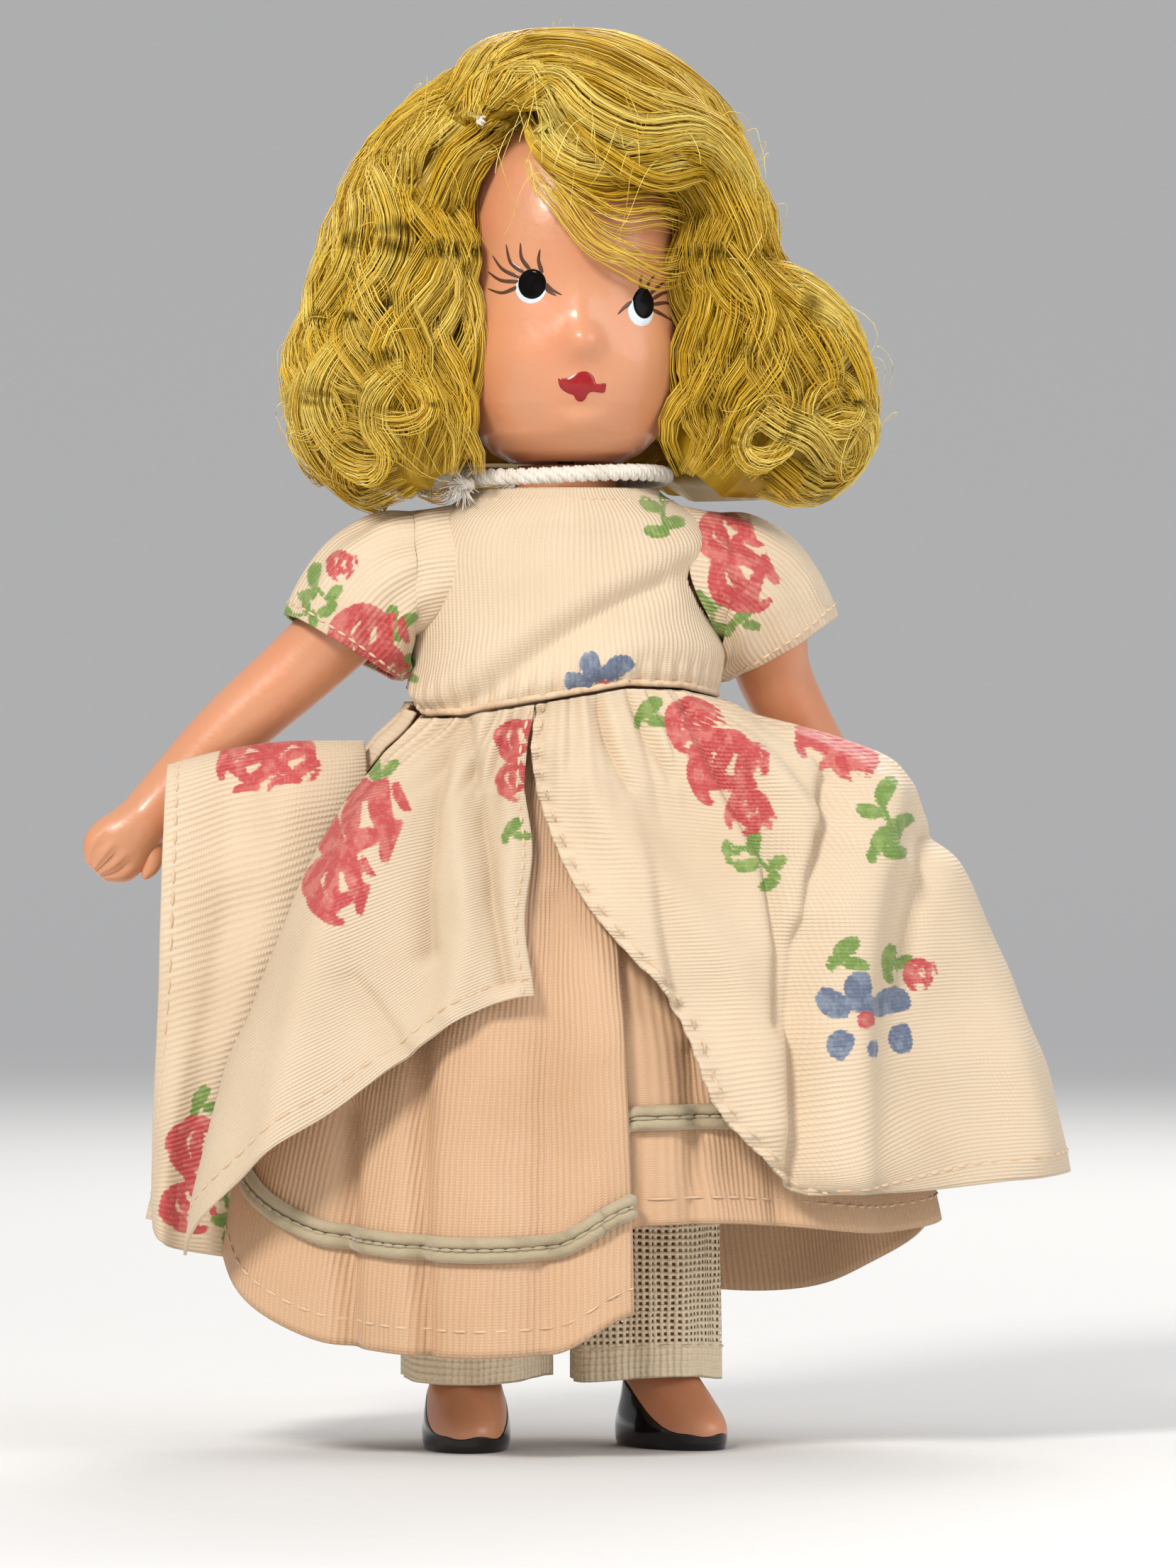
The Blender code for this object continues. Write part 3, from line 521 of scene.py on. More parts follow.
def spline(points: Sequence[Sequence[float]], share: float) -> tuple[float, ...]:
    """A point of the smooth curve through the points, at a share of its length in points."""
    place = min(max(share, 0.0), 1.0) * (len(points) - 1)
    first = min(int(place), len(points) - 2)
    t = place - first
    a, b = points[max(first - 1, 0)], points[first]
    c, d = points[first + 1], points[min(first + 2, len(points) - 1)]
    return tuple(
        0.5 * (2 * q + (r - p) * t + (2 * p - 5 * q + 4 * r - s) * t * t + (3 * q - p - 3 * r + s) * t**3)
        for p, q, r, s in zip(a, b, c, d)
    )


def circle(count: int) -> list[float]:
    """Evenly spaced angles all the way round, in radians."""
    return [2 * math.pi * step / count for step in range(count)]


def deselect() -> None:
    """Leaves object mode active with nothing selected."""
    if bpy.context.mode != "OBJECT":
        bpy.ops.object.mode_set(mode="OBJECT")
    bpy.ops.object.select_all(action="DESELECT")


def activate(piece: bpy.types.Object) -> None:
    """Leaves object mode active with only this piece selected."""
    deselect()
    piece.select_set(True)
    bpy.context.view_layer.objects.active = piece


def adopt(piece: bpy.types.Object, name: str, material: bpy.types.Material) -> bpy.types.Object:
    """Names a new piece, gives it its material and smooth shading, and applies its place."""
    piece.name = name
    piece.data.name = name
    piece.data.materials.clear()
    piece.data.materials.append(material)
    activate(piece)
    bpy.ops.object.transform_apply(location=True, rotation=True, scale=True)
    bpy.ops.object.shade_smooth()
    piece.select_set(False)
    return piece


def apply_all(piece: bpy.types.Object) -> None:
    """Applies every modifier of a piece, in order."""
    activate(piece)
    for modifier in list(piece.modifiers):
        bpy.ops.object.modifier_apply(modifier=modifier.name)
    piece.select_set(False)


def face_outwards(piece: bpy.types.Object, weld: bool = False) -> None:
    """Turns a piece's faces outwards, and first sews up points that meet if asked."""
    activate(piece)
    bpy.ops.object.mode_set(mode="EDIT")
    bpy.ops.mesh.select_all(action="SELECT")
    if weld:
        bpy.ops.mesh.remove_doubles(threshold=1e-6)
    bpy.ops.mesh.normals_make_consistent(inside=False)
    bpy.ops.object.mode_set(mode="OBJECT")


def join(pieces: Sequence[bpy.types.Object], name: str) -> bpy.types.Object:
    """Joins pieces into the first one and names it."""
    deselect()
    for piece in pieces:
        piece.select_set(True)
    bpy.context.view_layer.objects.active = pieces[0]
    if len(pieces) > 1:
        bpy.ops.object.join()
    pieces[0].name = name
    pieces[0].data.name = name
    deselect()
    return pieces[0]


def ring_faces(start: int, sides: int, rows: int, turned: bool = False) -> list[Face]:
    """The faces between closed rings of points that follow one another from a start."""
    faces = []
    for row in range(rows):
        low = start + row * sides
        for side in range(sides):
            a, b = low + side, low + (side + 1) % sides
            faces.append((a, a + sides, b + sides, b) if turned else (a, b, b + sides, a + sides))
    return faces


def raw_mesh(
    name: str, points: Sequence[Sequence[float]], faces: list[Face], material: bpy.types.Material
) -> bpy.types.Object:
    """A piece from points in millimetres and faces, for shapes that operators can't make."""
    mesh = bpy.data.meshes.new(name)
    mesh.from_pydata((np.array(points, float) * MM).tolist(), [], faces)
    mesh.materials.append(material)
    mesh.shade_smooth()
    piece = bpy.data.objects.new(name, mesh)
    bpy.context.scene.collection.objects.link(piece)
    return piece


def set_attribute(piece: bpy.types.Object, name: str, values: np.ndarray) -> None:
    """Stores a number or a colour for each point of a piece."""
    flat = values.ndim == 1
    kind = "FLOAT" if flat else "FLOAT_COLOR"
    layer = piece.data.attributes.new(name, kind, "POINT")
    if not flat:
        values = np.hstack([values, np.ones((len(values), 4 - values.shape[1]))])
    layer.data.foreach_set("value" if flat else "color", values.astype(np.float32).ravel())


@dataclass
class Cloth:
    """A sheet of cloth over a surface given in shares across and down, each 0 to 1."""

    name: str
    surface: Surface
    columns: int
    rows: int
    thickness: float
    material: bpy.types.Material
    closed: bool = False
    ink: Callable[[np.ndarray, np.ndarray], np.ndarray] | None = None
    hole: Callable[[Vector], bool] | None = None
    flat: tuple[float, float] = (0.0, 0.0)
    area: float = 0.0

    def build(self) -> bpy.types.Object:
        """A grid laid on the surface, sewn up where it closes, with a map in millimetres."""
        deselect()
        bpy.ops.mesh.primitive_grid_add(x_subdivisions=self.columns, y_subdivisions=self.rows, size=1)
        piece = bpy.context.active_object
        mesh = piece.data
        count = len(mesh.vertices)
        shares = np.zeros(count * 3)
        mesh.vertices.foreach_get("co", shares)
        shares = shares.reshape(-1, 3)[:, :2] + 0.5
        shares[:, 1] = 1 - shares[:, 1]
        grid = np.array([self.surface(u, v) for u, v in shares])
        mesh.vertices.foreach_set("co", (grid * MM).ravel())
        self.measure(grid, shares)
        layer = mesh.uv_layers.active
        layer.name = "cloth"
        corners = np.zeros(len(mesh.loops), np.int32)
        mesh.loops.foreach_get("vertex_index", corners)
        layer.data.foreach_set("uv", (shares * np.array(self.flat))[corners].ravel())
        adopt(piece, self.name, self.material)
        if self.ink:
            set_attribute(piece, "ink", self.ink(grid, shares * np.array(self.flat)))
        self.finish(piece)
        return piece

    def measure(self, grid: np.ndarray, shares: np.ndarray) -> None:
        """Works out the flat size from the sheet's longest row and longest column, and its area."""
        order = np.lexsort((shares[:, 0], shares[:, 1]))
        lines = grid[order].reshape(self.rows + 1, self.columns + 1, 3)
        across = np.linalg.norm(np.diff(lines, axis=1), axis=2).sum(axis=1)
        down = np.linalg.norm(np.diff(lines, axis=0), axis=2).sum(axis=0)
        self.flat = (float(across.max()), float(down.max()))
        self.area = float(self.area_of(lines))

    @staticmethod
    def area_of(lines: np.ndarray) -> float:
        """The sheet's area in square millimetres, from its grid."""
        a, b, c, d = lines[:-1, :-1], lines[:-1, 1:], lines[1:, 1:], lines[1:, :-1]
        first = np.linalg.norm(np.cross(b - a, c - a), axis=2)
        second = np.linalg.norm(np.cross(c - a, d - a), axis=2)
        return (first.sum() + second.sum()) / 2

    def finish(self, piece: bpy.types.Object) -> None:
        """Cuts the holes, sews the seam of a closed sheet and gives the cloth its thickness."""
        if self.hole:
            self.cut(piece)
        face_outwards(piece, weld=self.closed)
        wall = piece.modifiers.new("thickness", "SOLIDIFY")
        wall.thickness = self.thickness * MM
        wall.offset = 0.0
        apply_all(piece)

    def cut(self, piece: bpy.types.Object) -> None:
        """Deletes the faces whose middle is in a hole."""
        mesh = bmesh.new()
        mesh.from_mesh(piece.data)
        gone = [face for face in mesh.faces if self.hole(face.calc_center_median() / MM)]
        bmesh.ops.delete(mesh, geom=gone, context="FACES")
        mesh.to_mesh(piece.data)
        mesh.free()

    def declare(self) -> None:
        width, length = (max(size * MM, LEAST_SHEET_SIZE) for size in self.flat)
        area = min(self.area * MM * MM, width * length)
        max(area, 0.3 * width * length)


def tubes(
    name: str,
    paths: Sequence[np.ndarray],
    radii: Sequence[np.ndarray],
    material: bpy.types.Material,
    sides: int = 3,
    tones: Sequence[float] | None = None,
) -> bpy.types.Object:
    """Many tapered tubes in one piece.

    Args:
        name: the piece's name.
        paths: the points of each tube, in millimetres.
        radii: the radius at each point.
        material: the finish.
        sides: the number of sides of every tube.
        tones: a number for each tube, kept as the attribute tone.

    Returns:
        The piece.
    """
    points: list[np.ndarray] = []
    faces: list[Face] = []
    shades: list[np.ndarray] = []
    turns = 2 * math.pi * np.arange(sides) / sides
    start = 0
    for index, (path, radius) in enumerate(zip(paths, radii)):
        path = np.asarray(path, float)
        ahead = np.gradient(path, axis=0)
        ahead /= np.linalg.norm(ahead, axis=1, keepdims=True) + 1e-12
        guide = np.array([0.0, 0.0, 1.0]) if abs(ahead[0, 2]) < 0.9 else np.array([1.0, 0.0, 0.0])
        first = np.cross(ahead, guide)
        first /= np.linalg.norm(first, axis=1, keepdims=True) + 1e-12
        second = np.cross(ahead, first)
        size = np.asarray(radius, float)[:, None, None]
        cosines, sines = np.cos(turns)[None, :, None], np.sin(turns)[None, :, None]
        ring = first[:, None, :] * cosines + second[:, None, :] * sines
        points.append((path[:, None, :] + ring * size).reshape(-1, 3))
        count = len(path)
        faces += ring_faces(start, sides, count - 1)
        faces.append(tuple(start + side for side in reversed(range(sides))))
        last = start + (count - 1) * sides
        faces.append(tuple(last + side for side in range(sides)))
        shades.append(np.full(count * sides, tones[index] if tones is not None else 0.5))
        start += count * sides
    piece = raw_mesh(name, np.vstack(points), faces, material)
    if tones is not None:
        set_attribute(piece, "tone", np.concatenate(shades))
    return piece


def twisted(
    path: np.ndarray, radius: float, pitch: float, plies: int, steps: int
) -> list[np.ndarray]:
    """The paths of the plies of a twisted cord that follows a path."""
    along = np.linspace(0, len(path) - 1, steps)
    low = np.minimum(along.astype(int), len(path) - 2)
    share = (along - low)[:, None]
    centre = path[low] * (1 - share) + path[low + 1] * share
    ahead = np.gradient(centre, axis=0)
    ahead /= np.linalg.norm(ahead, axis=1, keepdims=True)
    length = np.concatenate([[0], np.cumsum(np.linalg.norm(np.diff(centre, axis=0), axis=1))])
    guide = np.array([0.13, 0.09, 1.0])
    first = np.cross(ahead, guide)
    first /= np.linalg.norm(first, axis=1, keepdims=True)
    second = np.cross(ahead, first)
    found = []
    for ply in range(plies):
        turn = (2 * math.pi * (length / pitch + ply / plies))[:, None]
        found.append(centre + radius * (first * np.cos(turn) + second * np.sin(turn)))
    return found


def stitches(
    name: str,
    line: Line,
    count: int,
    material: bpy.types.Material,
    radius: float = 0.17,
    fill: float = 0.72,
) -> bpy.types.Object:
    """A row of short raised stitches along a line given in shares from 0 to 1."""
    paths, radii = [], []
    for index in range(count):
        low = (index + (1 - fill) / 2) / count
        high = (index + (1 + fill) / 2) / count
        paths.append(np.array([line(low + (high - low) * t) for t in (0, 0.25, 0.5, 0.75, 1)]))
        radii.append(radius * np.array([0.25, 0.85, 1.0, 0.85, 0.25]))
    return tubes(name, paths, radii, material, sides=6)


# The doll's main forms, as packed. Rows: height, half-width, half-depth, centre's y

HEAD = (
    (135.2, 1.5, 1.7, 1.0), (134.0, 4.8, 5.5, 1.0), (131.5, 8.0, 9.0, 1.0), (128.0, 10.2, 11.3, 0.8),
    (123.0, 11.6, 12.5, 0.5), (118.0, 12.0, 12.6, 0.2), (113.0, 11.9, 12.2, -0.3),
    (108.0, 11.5, 11.8, -0.8), (104.0, 10.7, 10.8, -1.0), (101.0, 9.2, 9.2, -0.8),
    (99.2, 7.4, 7.2, -0.4), (98.3, 5.6, 5.6, 0.0),
)
BODICE = (
    (95.6, 9.2, 7.4, 0.0), (94.5, 10.4, 8.0, 0.0), (92.5, 13.4, 8.8, 0.0), (90.0, 14.8, 9.2, 0.0),
    (86.0, 14.9, 10.0, 0.0), (81.0, 14.9, 10.8, 0.0), (77.0, 14.9, 11.2, 0.0), (75.0, 14.9, 10.9, 0.0),
)
BELL = (
    (76.0, 12.9, 9.2, 0.0), (74.0, 13.4, 9.8, 0.0), (71.0, 16.4, 11.4, 0.0), (66.0, 20.3, 13.4, 0.0),
    (56.0, 25.8, 16.6, 0.0), (44.0, 31.2, 19.4, 0.0), (32.0, 35.2, 21.4, 0.0), (20.0, 38.0, 22.8, 0.0),
    (8.0, 39.6, 23.6, 0.0),
)
# Rows of the wig: height, reach to the doll's right and left, forwards and backwards
HAIR = (
    (140.2, 1.5, 1.5, 1.5, 1.5), (138.6, 9.5, 8.5, 9.0, 9.0), (135.0, 14.5, 14.0, 13.0, 13.5),
    (130.0, 19.0, 17.8, 15.5, 16.5), (124.0, 22.6, 20.0, 16.5, 18.0), (117.5, 24.6, 21.5, 16.0, 18.5),
    (111.5, 26.6, 29.6, 15.0, 18.5), (106.5, 27.6, 30.8, 14.0, 18.0), (101.0, 26.8, 30.6, 13.0, 17.0),
    (97.0, 24.0, 27.6, 12.0, 15.0), (94.6, 18.4, 22.0, 11.0, 13.0),
)
WAIST_Z = 75.0
SHOULDER_Z = 87.5


def at_height(table: Sequence[Sequence[float]], z: float) -> tuple[float, ...]:
    """A table's row at a height, on the smooth curve through its rows."""
    for index in range(len(table) - 1):
        upper, lower = table[index], table[index + 1]
        if z >= lower[0] or index == len(table) - 2:
            t = min(max((upper[0] - z) / (upper[0] - lower[0]), 0.0), 1.0)
            return spline(table, (index + t) / (len(table) - 1))[1:]
    return tuple(table[-1][1:])


def around(table: Sequence[Sequence[float]], angle: float, z: float, out: float = 0.0) -> Vector:
    """The point of a form at an angle and a height, moved outwards by a distance."""
    half_width, half_depth, centre = at_height(table, z)
    turn = math.radians(angle)
    return Vector(((half_width + out) * math.sin(turn), centre - (half_depth + out) * math.cos(turn), z))


def away(point: Vector, depth_share: float = 1.0) -> Vector:
    """The level direction from the doll's axis, with y weighed by a share for flat forms."""
    return Vector((point.x, point.y * depth_share, 0)).normalized()


def seen_x(point: Vector) -> float:
    """How far to the right of the axis the photograph's camera sees a point."""
    return SEEN_X * point.x - SEEN_Y * point.y


def fold_angle(angle: float) -> float:
    """The angle between -180 and 180."""
    return (angle + 180) % 360 - 180


# Studio


@dataclass(frozen=True)
class Studio:
    """A pale bowl of a floor, soft lights and the camera of the photograph."""

    azimuth: float = -CAMERA_TURN
    aim: Point = (2.2, -0.3, 66.2)
    distance: float = 900.0
    frame_height: float = 157.0

    def build(self) -> None:
        """Makes the camera, the lights and the floor."""
        turn = math.radians(self.azimuth)
        camera = bpy.data.objects.new("photo_camera", bpy.data.cameras.new("photo_camera"))
        bpy.context.scene.collection.objects.link(camera)
        back = Vector((math.sin(turn), -math.cos(turn), 0)) * self.distance
        camera.location = (Vector(self.aim) + back) * MM
        camera.rotation_euler = (math.radians(90), 0, turn)
        camera.data.sensor_fit = "VERTICAL"
        camera.data.sensor_height = 36.0
        camera.data.lens = 36.0 * self.distance / self.frame_height
        camera.data.clip_start = 0.01
        bpy.context.scene.camera = camera
        self.floor()
        self.light("key", (-0.42, -0.62, 0.62), 0.22, 6.6, (1.0, 0.97, 0.93))
        self.light("fill", (0.62, -0.45, 0.36), 0.6, 2.3, (0.95, 0.97, 1.0))
        self.light("rim", (0.25, 0.65, 0.6), 0.5, 3.2, (1.0, 0.98, 0.95))
        world = bpy.data.worlds.new("studio")
        world.use_nodes = True
        background = world.node_tree.nodes["Background"]
        background.inputs["Color"].default_value = (0.93, 0.95, 1.0, 1.0)
        background.inputs["Strength"].default_value = 0.56
        bpy.context.scene.world = world
        bpy.context.scene.view_settings.view_transform = "Standard"
        bpy.context.scene.view_settings.look = "None"

    @staticmethod
    def light(name: str, place: Point, size: float, power: float, colour: Colour) -> None:
        """An area light that faces the doll's middle. Place and size are in metres."""
        lamp = bpy.data.lights.new(name, "AREA")
        lamp.shape = "DISK"
        lamp.size = size
        lamp.energy = power
        lamp.color = colour
        holder = bpy.data.objects.new(name, lamp)
        holder.location = place
        holder.rotation_euler = (Vector((0, 0, 0.07)) - Vector(place)).to_track_quat("-Z", "Y").to_euler()
        bpy.context.scene.collection.objects.link(holder)

    @staticmethod
    def floor() -> None:
        """A floor that is flat round the doll and rises far away."""
        shader = Shader("pale_floor")
        grain = shader.noise(shader.place(), 500.0, 3.0)
        shader.set(base_color=shader.mix(grain, (0.74, 0.73, 0.71), (0.78, 0.77, 0.75)), roughness=0.85)
        rings, sides, below = 48, 96, -0.05
        flat_reach, full_reach, height = 1600, 4200, 1500
        points = [(0.0, 0.0, below)]
        for ring in range(1, rings + 1):
            reach = full_reach * (ring / rings) ** 1.5
            rise = height * smooth_step(flat_reach, full_reach, reach) + below
            points += [(reach * math.sin(turn), -reach * math.cos(turn), rise) for turn in circle(sides)]
        faces = [(0, 1 + side, 1 + (side + 1) % sides) for side in range(sides)]
        faces += ring_faces(1, sides, rings - 1, turned=True)
        raw_mesh("floor", points, faces, shader.material)


def place_piece(piece: bpy.types.Object, body: Body, slot: str, *nodes: str) -> bpy.types.Object:
    """Makes a piece ride on a body and stand for the CAD nodes, which it hides."""
    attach(piece, body.value)
    if nodes:
        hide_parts(*nodes)
    return piece


# Head


@dataclass
class Head:
    """The moulded head with its painted eyes, lashes and mouth."""

    finishes: Finishes
    # Where the face stands out (or in): x, z, half-width, half-height, height
    swellings: tuple[tuple[float, ...], ...] = (
        (-0.1, 109.9, 2.9, 2.6, 1.55), (-0.1, 112.6, 2.0, 3.4, 0.45), (-6.2, 108.0, 4.4, 4.0, 0.45),
        (6.4, 107.6, 4.4, 4.0, 0.45), (0.0, 101.9, 3.4, 2.4, 0.75), (-4.9, 115.4, 3.2, 2.6, -0.28),
        (6.1, 113.9, 3.0, 2.6, -0.28), (-0.1, 105.4, 2.9, 1.6, 0.32), (0.0, 103.4, 2.6, 0.9, -0.2),
        (0.0, 121.0, 8.0, 5.0, 0.2),
    )

    def surface(self, u: float, v: float) -> Vector:
        """The head at a share round it, from the back, and down it, from the top."""
        angle = 360 * u - 180
        z = HEAD[0][0] + (HEAD[-1][0] - HEAD[0][0]) * v
        point = around(HEAD, angle, z)
        if point.y < -2:
            out = Vector((point.x * 0.7, point.y, 0)).normalized()
            lift = 0.0
            for x, high, wide, tall, height in self.swellings:
                reach = math.hypot((point.x - x) / wide, (point.z - high) / tall)
                lift += height * math.exp(-1.9 * reach * reach)
            point += out * lift
        return point

    def build(self) -> None:
        """Makes the head and its paint."""
        columns, rows = 200, 150
        points = [self.surface(i / columns, j / rows) for j in range(rows + 1) for i in range(columns)]
        top, rim = len(points), rows * columns
        points.append(Vector((0, 1, 135.6)))
        faces = ring_faces(0, columns, rows, turned=True)
        faces += [(i, (i + 1) % columns, top) for i in range(columns)]
        inner = len(points)
        points += [Vector((p.x * 0.71, p.y * 0.71, 99.6)) for p in points[rim : rim + columns]]
        for i in range(columns):
            k = (i + 1) % columns
            faces.append((rim + i, inner + i, inner + k, rim + k))
        head = raw_mesh("head_shell", points, faces, self.finishes.skin)
        place_piece(head, Body.HEAD, "bisque", "head")
        head.data.update()
        self.tree = BVHTree.FromPolygons([tuple(p) for p in points], faces)
        self.paint()

    def on_face(self, x: float, z: float, out: float) -> Vector:
        """The point of the face at x and z, moved outwards."""
        hit, normal, _, _ = self.tree.ray_cast(Vector((x, -60, z)), Vector((0, 1, 0)))
        if normal.y > 0:
            normal = -normal
        return hit + normal * out

    def spot(self, name: str, outline: Outline, height: float, finish: bpy.types.Material) -> None:
        """A raised spot of paint inside an outline of x and z."""
        rings, count = 7, len(outline)
        mid_x, mid_z = (sum(p[axis] for p in outline) / count for axis in (0, 1))
        points = [self.on_face(mid_x, mid_z, height)]
        for ring in range(1, rings + 1):
            share = ring / rings
            out = height * (1 - share**4) ** 0.5 if ring < rings else -0.03
            for x, z in outline:
                points.append(self.on_face(mid_x + (x - mid_x) * share, mid_z + (z - mid_z) * share, out))
        faces = [(0, 1 + k, 1 + (k + 1) % count) for k in range(count)]
        faces += ring_faces(1, count, rings - 1, turned=True)
        place_piece(raw_mesh(name, points, faces, finish), Body.HEAD, "bisque")

    def strokes(self, name: str, lines: Sequence[Outline], finish: bpy.types.Material) -> None:
        """Tapered brush strokes through points of x and z, thick at their start."""
        points: list[Vector] = []
        faces: list[Face] = []
        steps, across = 14, 6
        for line in lines:
            start = len(points)
            for step in range(steps + 1):
                t = step / steps
                x, z = spline(line, t)
                ahead_x, ahead_z = spline(line, min(t + 0.02, 1))
                back_x, back_z = spline(line, max(t - 0.02, 0))
                side = Vector((back_z - ahead_z, ahead_x - back_x)).normalized()
                width = 0.26 * (1 - t) ** 0.7 * smooth_step(-0.25, 0.3, t) + 0.03
                for k in range(across + 1):
                    s = 2 * k / across - 1
                    out = -0.02 + 0.07 * math.sqrt(max(0.0, 1 - s * s))
                    points.append(self.on_face(x + side.x * s * width, z + side.y * s * width, out))
            for step in range(steps):
                for k in range(across):
                    a = start + step * (across + 1) + k
                    faces.append((a, a + 1, a + across + 2, a + across + 1))
        place_piece(raw_mesh(name, points, faces, finish), Body.HEAD, "bisque")

    def paint(self) -> None:
        """The eyes, the lashes and the mouth, where the photograph has them."""
        finishes = self.finishes
        self.spot("eye_right_white", egg(-5.02, 115.22, 1.5, 1.6), 0.10, finishes.eye_white)
        self.spot("eye_right_pupil", egg(-4.9, 115.55, 1.38, 1.58), 0.24, finishes.pupil)
        self.spot("eye_left_white", egg(6.05, 113.02, 1.45, 1.55), 0.10, finishes.eye_white)
        self.spot("eye_left_pupil", egg(6.3, 113.74, 1.24, 1.62, 0.4), 0.22, finishes.pupil)
        self.strokes("lashes_right", RIGHT_LASHES, finishes.lash)
        self.strokes("lashes_left", LEFT_LASHES, finishes.lash)
        self.spot("mouth", rounded(MOUTH, 3), 0.13, finishes.lips)


def egg(x: float, z: float, half_width: float, half_height: float, point: float = 0.0) -> Outline:
    """A round outline, drawn up to a point at its top by the share given."""
    outline = []
    for turn in circle(40):
        pull = point * max(0.0, math.sin(turn)) ** 3
        wide = half_width * math.cos(turn) * (1 - pull * 0.6)
        outline.append((x + wide, z + half_height * math.sin(turn) * (1 + pull * 0.3)))
    return outline


def rounded(points: Outline, steps: int) -> Outline:
    """A closed outline with points added on the smooth curve through it."""
    count = len(points)
    line = [points[-1], *points, points[0], points[1]]
    found = []
    for index in range(count):
        for step in range(steps):
            found.append(spline(line[index : index + 4], (1 + step / steps) / 3))
    return found


RIGHT_LASHES = (
    ((-6.1, 115.44), (-7.63, 114.8), (-8.95, 115.27)), ((-6.1, 115.87), (-7.78, 116.04), (-8.94, 116.97)),
    ((-6.0, 116.29), (-7.58, 117.1), (-8.52, 118.53)), ((-5.7, 116.76), (-6.89, 117.78), (-7.31, 119.59)),
    ((-5.1, 117.0), (-5.9, 118.21), (-6.0, 119.7)), ((-3.95, 116.7), (-4.31, 117.89), (-4.18, 119.02)),
    ((-3.8, 115.75), (-3.03, 115.02), (-2.09, 114.48)), ((-3.65, 115.33), (-3.24, 114.8), (-2.62, 114.42)),
)
LEFT_LASHES = (
    ((6.07, 114.7), (5.96, 115.87), (6.15, 116.72)), ((6.55, 115.02), (6.91, 115.87), (7.64, 116.76)),
    ((7.0, 114.76), (8.0, 115.55), (9.01, 116.29)), ((7.3, 114.27), (8.5, 114.91), (9.8, 115.23)),
    ((7.4, 113.74), (8.75, 113.99), (9.93, 113.91)), ((7.4, 113.21), (8.49, 112.78), (9.66, 112.25)),
    ((5.1, 113.95), (4.22, 113.31), (3.54, 112.63)),
)
MOUTH = (
    (-2.54, 106.29), (-1.85, 106.25), (-1.12, 106.51), (-0.66, 106.82), (-0.18, 106.97), (0.32, 106.97),
    (0.76, 106.8), (1.14, 106.4), (1.26, 105.97), (1.53, 105.7), (2.36, 105.82), (2.42, 105.4),
    (2.28, 104.87), (1.62, 104.87), (0.96, 104.93), (0.53, 104.7), (0.33, 104.27), (0.02, 103.95),
    (-0.37, 103.93), (-0.72, 104.16), (-0.96, 104.55), (-1.5, 104.74), (-2.03, 105.06), (-2.4, 105.48),
)


# Printed flowers


class Kind(Enum):
    """The motifs of the print."""

    ROSE = "rose"
    RED = "red"
    LEAF = "leaf"
    BUD = "bud"
    SPRIG = "sprig"
    BLUE = "blue"


# Each stroke of a motif: ink (0 red, 1 green, 2 blue), x, y, half-length, half-width, turn in degrees
STROKES = {
    Kind.ROSE: (
        (0, -1.5, 1.2, 1.7, 0.75, 35), (0, 0.6, 2.0, 1.6, 0.7, -20), (0, 2.0, 0.5, 1.6, 0.7, -75),
        (0, 0.1, 0.3, 1.3, 0.62, 10), (0, -1.2, -0.7, 1.5, 0.6, -40), (0, 1.0, -1.4, 1.7, 0.65, 25),
        (0, -0.5, -2.3, 1.2, 0.5, -5), (1, -3.4, -1.2, 1.6, 0.7, 40), (1, -2.8, -2.9, 1.5, 0.6, -30),
        (1, 3.3, -2.2, 1.7, 0.7, -45), (1, 3.6, 2.2, 1.2, 0.5, 55),
    ),
    Kind.RED: (
        (0, -1.4, 1.2, 2.0, 1.0, 35), (0, 0.6, 2.0, 1.9, 0.85, -20), (0, 2.1, 0.6, 1.8, 0.85, -75),
        (0, 0.3, 0.2, 1.4, 0.7, 10), (0, -1.1, -0.7, 1.7, 0.7, -45), (0, 1.2, -1.5, 2.0, 0.8, 25),
        (0, -0.5, -2.5, 1.5, 0.55, -5), (0, -2.8, -0.2, 1.3, 0.5, 80), (0, 2.3, -2.5, 1.1, 0.4, 40),
    ),
    Kind.LEAF: (
        (1, 0.0, 0.5, 1.25, 0.7, 30), (1, 0.6, -0.8, 1.0, 0.55, -20), (1, -1.2, -0.5, 0.7, 0.45, 70),
    ),
    Kind.BUD: (
        (0, 0.0, 0.6, 1.0, 0.62, 80), (0, 0.8, 0.3, 0.9, 0.45, 60), (1, -0.4, -1.0, 1.0, 0.35, 70),
        (1, 1.4, -1.3, 1.2, 0.5, 30), (1, -1.6, -1.0, 1.1, 0.45, -35),
    ),
    Kind.SPRIG: (
        (1, 0.0, 0.0, 2.3, 0.26, 65), (1, 1.1, 1.3, 1.3, 0.75, 20), (1, -1.0, 0.8, 1.1, 0.65, 130),
        (1, 0.5, -1.4, 1.1, 0.65, -10), (1, -1.2, -1.7, 1.2, 0.65, 155),
    ),
    Kind.BLUE: (
        (2, -0.5, 2.2, 1.3, 1.1, 90), (2, -2.4, 0.9, 1.5, 1.1, 150), (2, 2.1, 1.1, 1.7, 1.1, 12),
        (2, -1.9, -2.2, 1.2, 1.05, 60), (2, 2.9, -1.9, 1.2, 1.05, 100), (2, 0.6, -2.6, 0.7, 0.5, 90),
        (2, 0.2, 0.9, 1.2, 0.7, 0), (0, 0.1, -0.3, 0.75, 0.7, 10),
    ),
}


